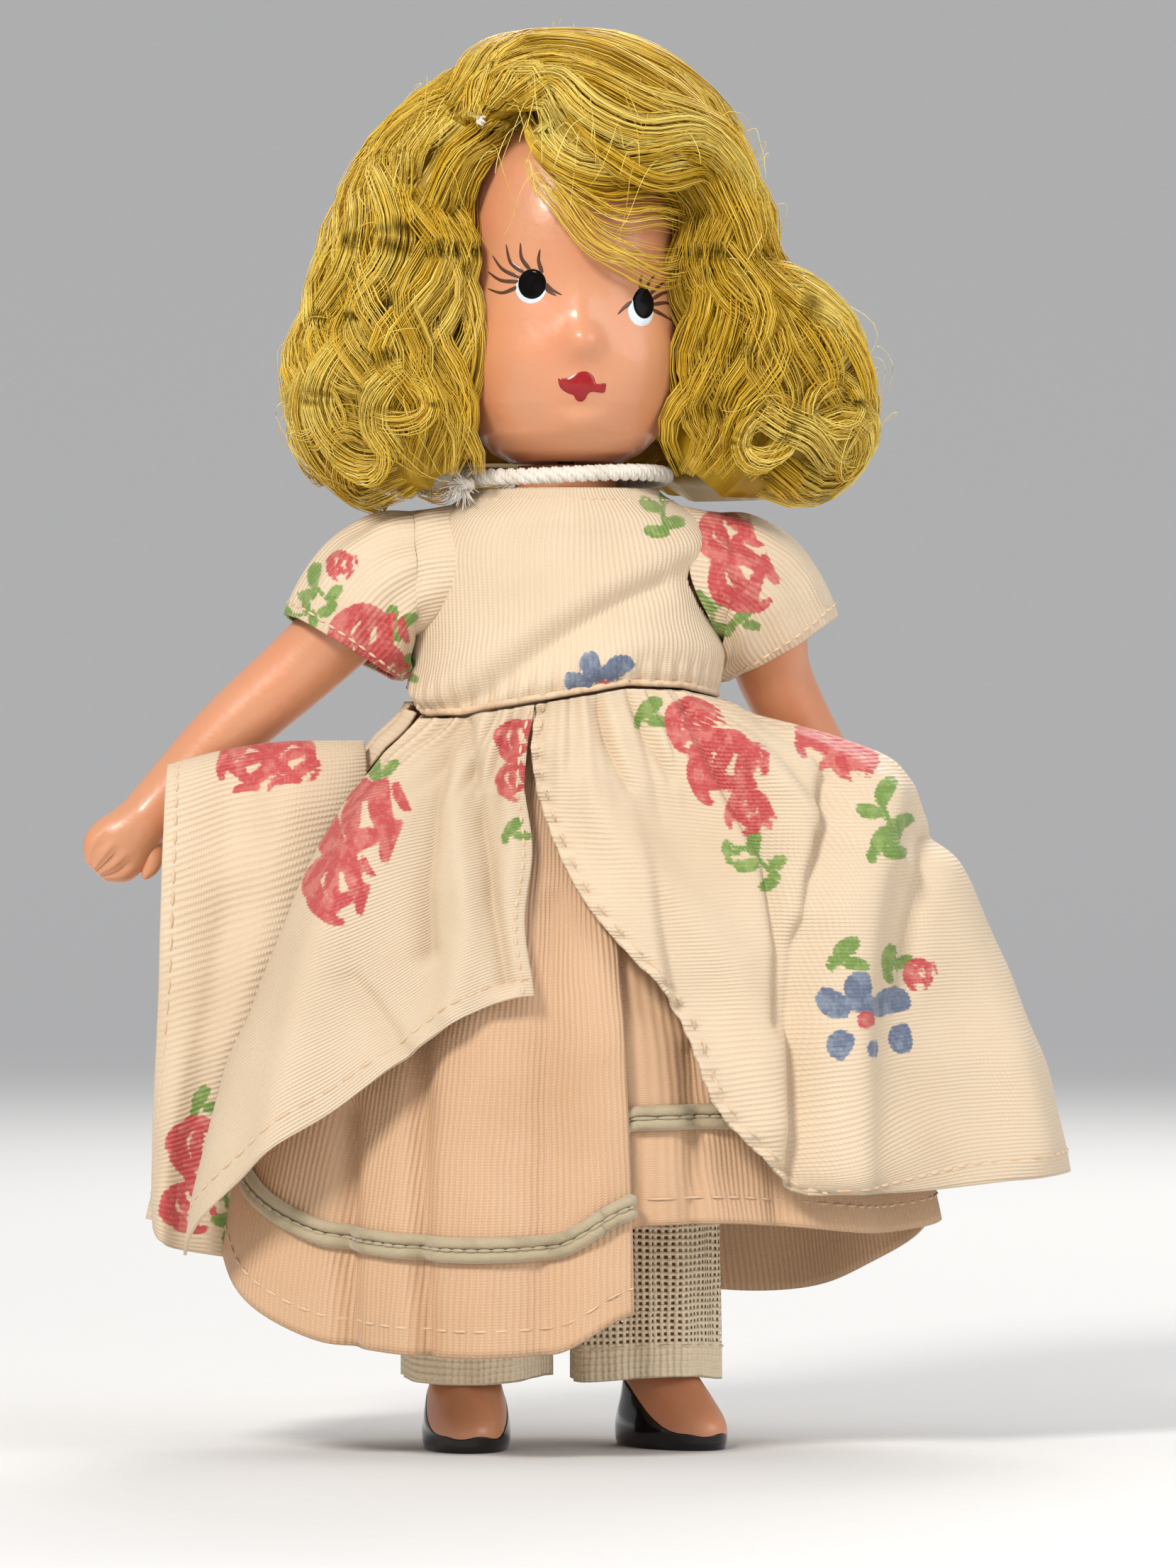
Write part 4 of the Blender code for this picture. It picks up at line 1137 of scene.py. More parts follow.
# Flowers of each sheet: kind, x and z where the camera sees it, size, turn in degrees
Flowers = Sequence[tuple[Kind, float, float, float, float]]
LEFT_FLOWERS: Flowers = (
    (Kind.RED, 12.2, 72.2, 0.9, 60), (Kind.RED, 15.4, 68.0, 1.25, 50),
    (Kind.RED, 18.0, 63.6, 0.8, 20), (Kind.SPRIG, 19.2, 58.6, 1.15, 60),
    (Kind.LEAF, 8.4, 73.2, 1.2, 10), (Kind.LEAF, 16.2, 59.6, 0.8, 60),
    (Kind.RED, 26.0, 71.2, 1.1, 20), (Kind.RED, 28.6, 69.2, 0.9, 60),
    (Kind.SPRIG, 31.6, 63.4, 1.25, 40), (Kind.LEAF, 31.4, 60.2, 1.3, 20),
    (Kind.BLUE, 29.3, 43.4, 1.25, 0), (Kind.RED, 34.8, 47.4, 0.55, 60),
    (Kind.LEAF, 27.6, 49.4, 1.3, 10), (Kind.LEAF, 32.2, 48.6, 1.2, 50),
)
RIGHT_FLOWERS: Flowers = (
    (Kind.RED, -20.8, 62.4, 1.5, 75), (Kind.RED, -22.6, 56.0, 1.1, 80),
    (Kind.LEAF, -18.3, 67.4, 1.1, 70), (Kind.RED, -25.0, 25.0, 0.8, 40),
    (Kind.RED, -4.9, 70.4, 0.75, 80), (Kind.RED, -5.2, 66.4, 0.6, 80),
    (Kind.LEAF, -5.0, 61.6, 0.9, 20), (Kind.LEAF, -28.6, 22.0, 0.9, 60),
)
FLAP_FLOWERS: Flowers = (
    (Kind.RED, -31.6, 68.4, 1.0, 10), (Kind.RED, -27.4, 68.8, 0.9, 10),
    (Kind.RED, -36.4, 30.4, 1.05, 70), (Kind.RED, -37.4, 24.4, 0.9, 110),
    (Kind.LEAF, -35.8, 34.8, 1.1, 30), (Kind.SPRIG, -33.6, 25.4, 1.1, 30),
    (Kind.LEAF, -33.0, 21.0, 0.9, 60),
)
BODICE_FLOWERS: Flowers = (
    (Kind.SPRIG, 9.6, 93.4, 1.1, 20), (Kind.BLUE, 3.6, 76.2, 0.95, 20), (Kind.LEAF, -15.8, 77.5, 0.9, 0),
)
SLEEVE_FLOWERS: dict[Side, Flowers] = {
    Side.RIGHT: (
        (Kind.RED, -20.2, 80.6, 1.2, 60), (Kind.RED, -18.4, 78.2, 0.8, 20),
        (Kind.LEAF, -16.8, 82.4, 1.1, 60), (Kind.LEAF, -15.9, 78.0, 0.9, 20),
        (Kind.SPRIG, -24.4, 85.4, 1.0, 60), (Kind.RED, -22.4, 87.9, 0.5, 60),
        (Kind.BLUE, -27.6, 80.6, 0.6, 0), (Kind.SPRIG, -26.6, 83.0, 0.8, 110),
    ),
    Side.LEFT: (
        (Kind.RED, 15.8, 90.8, 1.0, 110), (Kind.RED, 17.4, 86.6, 1.15, 120),
        (Kind.SPRIG, 14.8, 83.4, 1.2, 0), (Kind.LEAF, 17.8, 82.8, 1.0, 10),
    ),
}


# How far a flower's ink reaches from its middle, and how far along the sheet it may lie, for size 1
INK_REACH = 8
FLOWER_ROOM = 11


@dataclass
class Print:
    """The print of one sheet: flowers the photograph shows, and others on what it hides."""

    motifs: Flowers
    seed: int
    spacing: float = 17.0
    bare: Callable[[np.ndarray], np.ndarray] | None = None

    def __call__(self, grid: np.ndarray, flat: np.ndarray) -> np.ndarray:
        """Red, green and blue ink at each point of the sheet."""
        seen = grid[:, 0] * SEEN_X - grid[:, 1] * SEEN_Y
        inks = np.zeros((len(grid), 3))
        for kind, x, z, size, turn in self.motifs:
            offset = np.stack([seen - x, grid[:, 2] - z], axis=1)
            distance = np.hypot(offset[:, 0], offset[:, 1]) + (grid[:, 1] + 30) * 0.02
            middle = grid[int(np.argmin(distance))]
            close = np.linalg.norm(grid - middle, axis=1) < FLOWER_ROOM * size
            self.stamp(inks, offset, close, kind, size, turn)
        rng = random.Random(self.seed)
        hidden = self.bare(grid) if self.bare else np.zeros(len(grid), bool)
        across, down = flat[:, 0].max(), flat[:, 1].max()
        for row in range(int(down / self.spacing) + 1):
            for column in range(int(across / self.spacing) + 1):
                x = (column + 0.5 * (row % 2) + rng.uniform(0.2, 0.6)) * self.spacing
                y = (row + rng.uniform(0.2, 0.7)) * self.spacing
                kind = rng.choice((Kind.RED, Kind.BUD, Kind.SPRIG, Kind.BLUE, Kind.ROSE, Kind.RED))
                turn, size = rng.uniform(0, 360), rng.uniform(0.8, 1.05)
                nearest = int(np.argmin(np.hypot(flat[:, 0] - x, flat[:, 1] - y)))
                if hidden[nearest]:
                    offset = (flat - np.array([x, y])) * np.array([1.0, -1.0])
                    self.stamp(inks, offset, np.ones(len(flat), bool), kind, size, turn)
        return inks

    @staticmethod
    def stamp(
        inks: np.ndarray, offset: np.ndarray, close: np.ndarray, kind: Kind, size: float, turn: float
    ) -> None:
        """Adds a motif's strokes to the inks of the points near its middle, given their offsets."""
        near = np.where(close & (np.abs(offset).max(axis=1) < INK_REACH * size))[0]
        angle = math.radians(turn)
        spin = np.array([[math.cos(angle), math.sin(angle)], [-math.sin(angle), math.cos(angle)]])
        place = offset[near] @ spin.T / size
        for ink, x, y, half_length, half_width, lean in STROKES[kind]:
            lean = math.radians(lean)
            along = (place[:, 0] - x) * math.cos(lean) + (place[:, 1] - y) * math.sin(lean)
            across = -(place[:, 0] - x) * math.sin(lean) + (place[:, 1] - y) * math.cos(lean)
            across += 0.12 * along**2
            width = half_width * np.sqrt(np.clip(1 - (along / (half_length * 1.15)) ** 2, 0.02, 1))
            gap = np.maximum((np.abs(across) - width), (np.abs(along) - half_length) * 0.8)
            value = np.clip(0.5 - gap * 0.45 * size, 0, 1)
            inks[near, ink] = np.maximum(inks[near, ink], value)


# Clothes


def wrinkle(point: Vector, scale: float, seed: float) -> float:
    """Smooth noise between about -1 and 1 at a point, with features of that size."""
    return noise.noise(Vector((point.x / scale + seed, point.y / scale, point.z / scale - seed)))


def gathers(angle: float, z: float, count: int, depth: float) -> float:
    """How far the skirt's folds stand out: none at the waist, full at the hem."""
    return depth * smooth_step(WAIST_Z, 30.0, z) * math.sin(math.radians(count * angle))


def underskirt_hem(angle: float) -> float:
    """The hem hangs low in front, is hitched up on the doll's left and rises at its right side."""
    turn = fold_angle(angle)
    left = smooth_step(7.5, 11.5, turn) * smooth_step(150, 90, turn)
    back = smooth_step(60, 140, abs(turn))
    right = smooth_step(-40, -90, turn) * smooth_step(-165, -110, turn)
    lip = smooth_step(-7, 4.5, turn) * smooth_step(9, 7, turn)
    drop = 11.0 + 3.2 * lip + 11.4 * left + 13.0 * right + 3.0 * back * (1 - left)
    return drop + 0.7 * math.sin(math.radians(5 * turn))


FRONT_FOLD_DEPTH = 2.3


def front_fold(turn: float, z: float) -> float:
    """The full round fold in front, which ends in a sharp edge on the doll's left."""
    low = smooth_step(66, 44, z)
    body = smooth_step(-34, -10, turn) * smooth_step(13.0, 9.6, turn)
    crease = 0.9 * bump_at(turn, -21, 7) * smooth_step(50, 25, z)
    return (FRONT_FOLD_DEPTH * body - crease) * low


# Folds that the camera sees: height, width, and the x and z of a line along each
UNDER_FOLDS = (
    (-1.9, 1.3, ((-13.0, 57.0), (-14.2, 42.0), (-14.2, 26.0), (-13.7, 10.0))),
    (-1.7, 1.2, ((-21.5, 34.0), (-21.4, 22.0), (-21.2, 9.0))),
    (0.8, 2.6, ((-9.0, 52.0), (-9.6, 30.0), (-9.0, 10.0))),
    (-0.8, 1.4, ((-1.4, 54.0), (-1.9, 30.0), (-2.4, 10.0))),
    (0.6, 2.0, ((2.6, 50.0), (2.6, 30.0), (2.2, 10.0))),
    (-1.0, 1.1, ((12.5, 40.0), (12.8, 30.0), (12.8, 20.0))),
    (-0.9, 1.2, ((20.5, 32.0), (21.2, 24.0), (21.6, 16.0))),
)
LEFT_FOLDS = (
    (-2.6, 1.4, ((26.7, 66.0), (24.4, 57.0), (23.2, 42.6), (23.2, 27.5))),
    (2.5, 2.8, ((30.4, 65.0), (28.2, 55.0), (27.0, 42.6), (27.2, 26.0))),
    (-1.8, 1.0, ((12.4, 73.6), (16.3, 66.2), (20.4, 58.6), (21.6, 50.0), (21.0, 43.0))),
    (1.5, 2.1, ((14.5, 74.5), (19.5, 67.0), (23.4, 59.6), (24.0, 54.0))),
    (1.3, 2.6, ((-0.5, 69.3), (4.6, 61.8), (10.8, 55.2), (16.3, 48.4), (18.9, 40.0), (19.6, 33.0))),
    (-1.3, 1.0, ((36.2, 60.4), (34.6, 53.0), (33.4, 46.5))),
    (1.3, 2.4, ((38.2, 58.0), (42.0, 47.6), (44.8, 35.8), (46.0, 30.0))),
    (-1.0, 0.7, ((2.6, 75.2), (3.9, 70.4), (6.2, 66.0))),
    (-0.9, 0.7, ((6.4, 75.2), (8.2, 70.6), (10.8, 66.8))),
    (-1.0, 0.8, ((17.2, 74.8), (22.0, 70.6), (27.2, 67.4))),
    (0.9, 1.2, ((14.9, 71.4), (24.5, 62.6), (33.0, 58.0))),
)
RIGHT_FOLDS = (
    (2.2, 3.0, ((-14.5, 71.0), (-18.6, 60.4), (-22.6, 50.5), (-25.6, 38.0), (-27.6, 26.0))),
    (-1.6, 1.2, ((-10.6, 72.6), (-12.9, 64.6), (-13.8, 56.0), (-13.4, 50.0))),
    (1.2, 1.8, ((-8.4, 72.0), (-9.8, 62.0), (-9.4, 52.0), (-10.6, 44.0))),
    (-1.9, 1.1, ((-9.4, 72.0), (-8.4, 62.0), (-7.2, 54.0), (-6.0, 47.0))),
    (-1.2, 1.0, ((-19.5, 71.5), (-24.0, 66.0), (-26.2, 60.0))),
    (-0.9, 1.1, ((-20.5, 47.0), (-16.4, 41.0), (-14.0, 37.5))),
)
BODICE_FOLDS = (
    (0.75, 1.9, ((-16.4, 75.2), (-9.8, 78.4), (0.2, 84.2), (8.6, 88.6), (11.6, 90.0))),
    (-0.75, 1.3, ((-14.0, 73.6), (-8.6, 76.0), (1.6, 81.6), (9.2, 85.8))),
    (0.7, 2.2, ((3.0, 77.6), (8.0, 79.6), (14.6, 79.0))),
    (-0.5, 1.2, ((11.6, 87.4), (13.4, 84.0), (15.6, 81.0))),
    (0.5, 1.6, ((-14.6, 88.0), (-15.2, 83.0), (-15.8, 78.6))),
)


def folds(point: Vector, table: Sequence[Fold], top: float = 75.5) -> float:
    """How far a table's folds move the front of a cloth outwards at a point below a seam."""
    if point.y > 4:
        return 0.0
    x, z = seen_x(point), point.z
    total = 0.0
    for height, width, line in table:
        nearest = math.inf
        for (ax, az), (bx, bz) in zip(line, line[1:]):
            run, fall = bx - ax, bz - az
            along = ((x - ax) * run + (z - az) * fall) / (run**2 + fall**2)
            along = min(max(along, 0.0), 1.0)
            nearest = min(nearest, (x - ax - along * run) ** 2 + (z - az - along * fall) ** 2)
        if nearest < 9 * width * width:
            total += height * math.exp(-nearest / width**2)
    return total * smooth_step(4, -3, point.y) * smooth_step(top, top - 3.0, z)


# The tuck in front: the cloth's own angle, the angle where it lies, and how far it has gone in
TUCK = np.array((
    (0.0, 0.0, 0.0), (3.0, 3.1, 0.0), (4.6, 4.2, 0.1), (5.8, 4.3, 0.35), (7.2, 2.9, 0.62),
    (8.6, 1.5, 0.82), (10.0, 2.2, 1.0), (11.6, 5.4, 1.06), (14.0, 11.0, 1.06), (18.0, 18.0, 1.0),
))
TUCK_DEPTH = 2.3


def under_cloth(angle: float, z: float, out: float = 0.0) -> Vector:
    """A point of the underskirt with the folds that show in front and the tuck beside them."""
    turn = fold_angle(angle)
    if TUCK[0, 0] < turn < TUCK[-1, 0]:
        low = smooth_step(62, 46, z)
        lies = turn + (float(np.interp(turn, TUCK[:, 0], TUCK[:, 1])) - turn) * low
        gone = float(np.interp(turn, TUCK[:, 0], TUCK[:, 2]))
        out -= TUCK_DEPTH * gone * smooth_step(13.0, 9.6, lies) * smooth_step(66, 44, z)
        angle = lies
    point = underskirt_point(angle, z)
    return underskirt_point(angle, z, out + folds(point, UNDER_FOLDS))


def waist_tilt(point: Vector) -> float:
    """How far the waist seam lies above its middle height in front, where it is pulled askew."""
    places, rises = (-18.0, -10.4, -1.7, 6.1, 11.6, 16.0), (-1.9, -1.7, -0.2, 1.2, 1.0, 0.0)
    return float(np.interp(seen_x(point), places, rises)) * smooth_step(2, -4, point.y)


def underskirt_point(angle: float, z: float, out: float = 0.0) -> Vector:
    """A point of the underskirt at an angle and a height, moved outwards."""
    turn = fold_angle(angle)
    point = around(BELL, angle, z, out + gathers(angle, z, 11, 0.8) + front_fold(turn, z))
    point.z += waist_tilt(point) * smooth_step(58, 73, z)
    return point


def over_point(angle: float, z: float, lift: float) -> Vector:
    """A point of the overskirt: clear of the underskirt and its braid, and lifted further."""
    return underskirt_point(angle, z, 1.2 + 1.1 * smooth_step(46, 38, z) + lift)


OVER_TOP = 74.4
BRAID_RISE = 10.5
# The front edges of the overskirt's two front panels: angle and height from the waist down
LEFT_FRONT = (
    (-17.0, 74.4), (-15.5, 69.5), (-10.5, 63.2), (-2.5, 55.3), (5.5, 49.3), (13.0, 43.6), (17.3, 34.6),
    (27.0, 27.8), (30.5, 26.0),
)
RIGHT_FRONT = ((-17.6, 74.4), (-16.4, 69.0), (-12.8, 61.0), (-13.0, 52.0), (-10.5, 45.5))
# The flap's net: columns run from the tucked edge out to the hem, rows from the rolled top down
FLAP = (
    ((-20.4, 0.4, 68.6), (-29.0, -1.0, 68.4), (-35.0, -0.6, 67.6), (-39.8, -0.5, 66.2)),
    ((-20.4, -1.4, 70.2), (-29.0, -2.8, 70.0), (-35.2, -2.2, 69.0), (-40.2, -1.9, 67.6)),
    ((-20.8, -3.4, 64.0), (-29.6, -5.6, 62.5), (-35.4, -4.4, 61.0), (-40.6, -3.2, 59.0)),
    ((-25.0, -4.8, 52.0), (-32.4, -8.0, 50.0), (-36.6, -6.2, 48.5), (-41.0, -4.2, 47.0)),
    ((-29.4, -5.4, 40.0), (-36.0, -8.6, 38.0), (-38.8, -7.2, 37.0), (-41.6, -5.0, 36.0)),
    ((-32.4, -5.8, 30.0), (-38.4, -8.8, 29.0), (-40.4, -7.6, 28.5), (-42.0, -5.6, 28.0)),
    ((-34.2, -6.2, 19.4), (-39.6, -8.8, 20.2), (-41.0, -7.8, 21.0), (-42.0, -6.4, 22.5)),
)


def waist_gathers(angle: float, z: float, seed: float) -> float:
    """Fine pleats that fan out from the waist seam."""
    fade = smooth_step(58, 73, z)
    run = angle * 0.62 + 2.2 * noise.noise(Vector((angle / 14.0, seed, 0)))
    return 0.32 * fade * math.sin(run) + 0.12 * fade * math.sin(run * 2.3 + seed)


def out_in_front(point: Vector) -> Vector:
    """The direction in which the folds of the overskirt's front panels stand out."""
    return Vector((point.x * 0.7, min(point.y, -12.0), 0)).normalized()


def crumpled(point: Vector, depth: float, size: float, seed: float) -> Vector:
    """A point of the overskirt moved by the small uneven waves of soft cloth."""
    return point + away(point, 1.5) * depth * wrinkle(point, size, seed)


@dataclass
class Skirts:
    """The peach underskirt with its braid, and the printed overskirt in four sheets."""

    finishes: Finishes
    flap_front: Vector = field(default_factory=lambda: Vector((-0.25, -1, 0)).normalized())

    def build(self) -> None:
        """Makes the skirts."""
        self.underskirt()
        self.braid()
        self.overskirt_left()
        self.overskirt_right()
        self.overskirt_flap()
        self.overskirt_back()

    def underskirt_surface(self, u: float, v: float) -> Vector:
        """The underskirt at a share round it and down it."""
        angle = 360 * u - 180
        top = WAIST_Z - 1.0
        z = top + (underskirt_hem(angle) - top) * v
        point = under_cloth(angle, z, waist_gathers(angle, z, 1.7))
        return point + away(point, 1.6) * 0.22 * wrinkle(point, 6.0, 3.1) * v

    def underskirt(self) -> None:
        """The ribbed peach skirt with a stitched hem."""
        surface, cloth = self.underskirt_surface, self.finishes.taffeta
        sheet = Cloth("underskirt_cloth", surface, 420, 72, DRESS_THICKNESS, cloth, closed=True)
        piece = sheet.build()
        place_piece(piece, Body.TORSO, "taffeta", "underskirt")
        line = self.above_hem(2.6, 0.22)
        row = stitches("underskirt_hem_stitches", line, 120, self.finishes.seam, 0.13, 0.7)
        place_piece(row, Body.TORSO, "taffeta")
        sheet.declare()

    @staticmethod
    def above_hem(rise: float, out: float) -> Line:
        """A line round the underskirt at a height above its hem, moved outwards."""

        def line(share: float) -> Vector:
            angle = 360 * share - 180
            return under_cloth(angle, underskirt_hem(angle) + rise, out)

        return line

    def braid(self) -> None:
        """Two rounded cords side by side with a chain of stitches between them."""
        cords = []
        radius, steps, braid = 0.62, 420, self.finishes.braid
        angles = [360 * step / steps for step in range(steps + 1)]
        for offset in (-radius, radius):
            path = [under_cloth(a, underskirt_hem(a) + BRAID_RISE + offset, 0.75) for a in angles]
            cords.append(tubes("cord", [np.array(path)], [np.full(len(path), radius)], braid, sides=8))
        chain = stitches("chain", self.above_hem(BRAID_RISE, 1.25), 190, braid, 0.2, 1.1)
        piece = join([*cords, chain], "underskirt_braid_cords")
        place_piece(piece, Body.TORSO, "braid", "underskirt_braid")

    def left_surface(self, u: float, v: float) -> Vector:
        """The doll's left side of the overskirt, puffed out in front of the arm."""
        start = spline(LEFT_FRONT, v)
        angle = start[0] + (176.0 - start[0]) * u
        hem = 26.0 + 1.8 * smooth_step(35, 90, angle) - 4.0 * smooth_step(100, 150, angle)
        level = OVER_TOP + (hem - OVER_TOP) * v
        level += (start[1] - level) * (1 - smooth_step(0.0, 0.22, u))
        high = smooth_step(44, 60, level)
        puff = (12.0 - 2.6 * smooth_step(60, 30, level)) * smooth_step(75.5, 68.0, level)
        rise = smooth_step(12, 82, angle)
        fall = 1 - smooth_step(86, 104 + 40 * (1 - high), angle)
        ripple = 0.9 * math.sin(math.radians(angle * 6)) * smooth_step(70, 45, level)
        lift = puff * rise * fall + ripple + 0.9 + waist_gathers(angle, level, 5.3)
        drape = 1.1 * math.sin(0.16 * (angle * 0.55 - level)) * smooth_step(74, 62, level)
        drape *= smooth_step(0.0, 0.2, u)
        point = over_point(angle, level, lift + drape * 0.8)
        out = folds(point, LEFT_FOLDS) + 0.5 * bump_at(u, 0.008, 0.016) * math.sin(level * 2.8)
        point += out_in_front(point) * out
        return crumpled(point, 0.3, 7.0, 8.2)

    def overskirt_left(self) -> None:
        """The doll's left side."""
        ink = Print(LEFT_FLOWERS, 11, bare=lambda grid: grid[:, 1] > -3)
        edge = (lambda t: self.on_sheet(self.left_surface, 0.012, t), 26)
        hem = (lambda t: self.on_sheet(self.left_surface, t, 0.955), 60)
        nodes = ("overskirt_left", "overskirt_left_hem")
        self.panel(nodes, self.left_surface, (340, 100), ink, (edge, hem))

    @staticmethod
    def on_sheet(surface: Surface, u: float, v: float) -> Vector:
        """A point just outside a sheet, away from the doll's axis."""
        point = surface(u, v)
        return point + away(point, 1.5) * 0.2

    def panel(
        self,
        nodes: Sequence[str],
        surface: Surface,
        grid: tuple[int, int],
        ink: Print,
        seams: Sequence[tuple[Line, int]],
        held: str = "gathered",
        rests_on: str = "underskirt_cloth",
    ) -> None:
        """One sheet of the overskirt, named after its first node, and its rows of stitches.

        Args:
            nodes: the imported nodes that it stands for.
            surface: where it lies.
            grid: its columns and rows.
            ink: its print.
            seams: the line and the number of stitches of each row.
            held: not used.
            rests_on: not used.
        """
        name, cloth = nodes[0], self.finishes.faille_cross
        sheet = Cloth(f"{name}_cloth", surface, *grid, DRESS_THICKNESS, cloth, ink=ink)
        piece = sheet.build()
        place_piece(piece, Body.TORSO, "faille", *nodes)
        sewn = [stitches("seam", line, count, self.finishes.seam) for line, count in seams]
        place_piece(join(sewn, f"{name}_stitches"), Body.TORSO, "faille")
        sheet.declare()

    def right_surface(self, u: float, v: float) -> Vector:
        """The right front panel, whose hem runs up from the outer side to the front edge."""
        start = spline(RIGHT_FRONT, v)
        angle = start[0] + (-66.0 - start[0]) * u
        hem = 45.5 - 25.6 * smooth_step(0.0, 1.15, u) / smooth_step(0.0, 1.15, 1.0)
        level = OVER_TOP + (hem - OVER_TOP) * v
        fold = 5.0 * bump_at(angle, -52, 26) * smooth_step(73, 60, level)
        ripple = 0.8 * math.sin(math.radians(7 * angle)) * smooth_step(72, 50, level)
        turned = 0.9 * bump_at(u, 0.07, 0.09) * smooth_step(74, 66, level)
        point = over_point(angle, level, 0.9 + fold + ripple + turned + waist_gathers(angle, level, 2.9))
        point += out_in_front(point) * (folds(point, RIGHT_FOLDS) + 0.6)
        return crumpled(point, 0.25, 6.5, 1.4)

    def overskirt_right(self) -> None:
        """The doll's right side in front."""
        edge = (lambda t: self.on_sheet(self.right_surface, 0.03, t), 24)
        hem = (lambda t: self.on_sheet(self.right_surface, t, 0.94), 26)
        self.panel(
            ("overskirt_right",), self.right_surface, (130, 130), Print(RIGHT_FLOWERS, 23), (edge, hem)
        )

    def flap_surface(self, u: float, v: float) -> Vector:
        """The hem's corner that hangs in front of the right forearm."""
        columns = [spline([row[i] for row in FLAP], v) for i in range(len(FLAP[0]))]
        point = Vector(spline(columns, u))
        fold = 1.3 * math.sin(7.5 * u + 2.4 * v) * smooth_step(0.1, 0.35, v)
        return point + self.flap_front * (fold + 0.6 * wrinkle(point, 6.0, 4.4))

    def overskirt_flap(self) -> None:
        """The corner in front of the right hand."""
        hem = (lambda t: self.flap_surface(0.9, 0.12 + 0.88 * t) + self.flap_front * 0.2, 30)
        self.panel(
            ("overskirt_flap",), self.flap_surface, (70, 150), Print(FLAP_FLOWERS, 37), (hem,),
            "folded", "overskirt_back_cloth",
        )

    def back_surface(self, u: float, v: float) -> Vector:
        """The back, from under the flap to the seam at the middle of the back."""
        angle = -83.0 - 95.0 * u
        level = OVER_TOP + (23.0 - OVER_TOP) * v
        ripple = 1.0 * math.sin(math.radians(8 * angle)) * smooth_step(70, 45, level)
        point = over_point(angle, level, 1.3 + ripple + waist_gathers(angle, level, 7.7))
        return crumpled(point, 0.3, 7.0, 6.6)

    def overskirt_back(self) -> None:
        """The doll's right side at the back."""
        ink = Print((), 53, bare=lambda grid: np.ones(len(grid), bool))
        hem = (lambda t: self.on_sheet(self.back_surface, t, 0.95), 40)
        self.panel(("overskirt_back",), self.back_surface, (200, 110), ink, (hem,))


# Wig


@dataclass(frozen=True)
class Lock:
    """A lock of hair: its width and lift off the wig in mm, its number of strands, its tone, which is
    painted light and shade (lighter for locks that stand out, darker for those under others), and x and z
    of the path that is seen.
    """

    width: float
    strands: int
    lift: float
    tone: float
    path: Outline


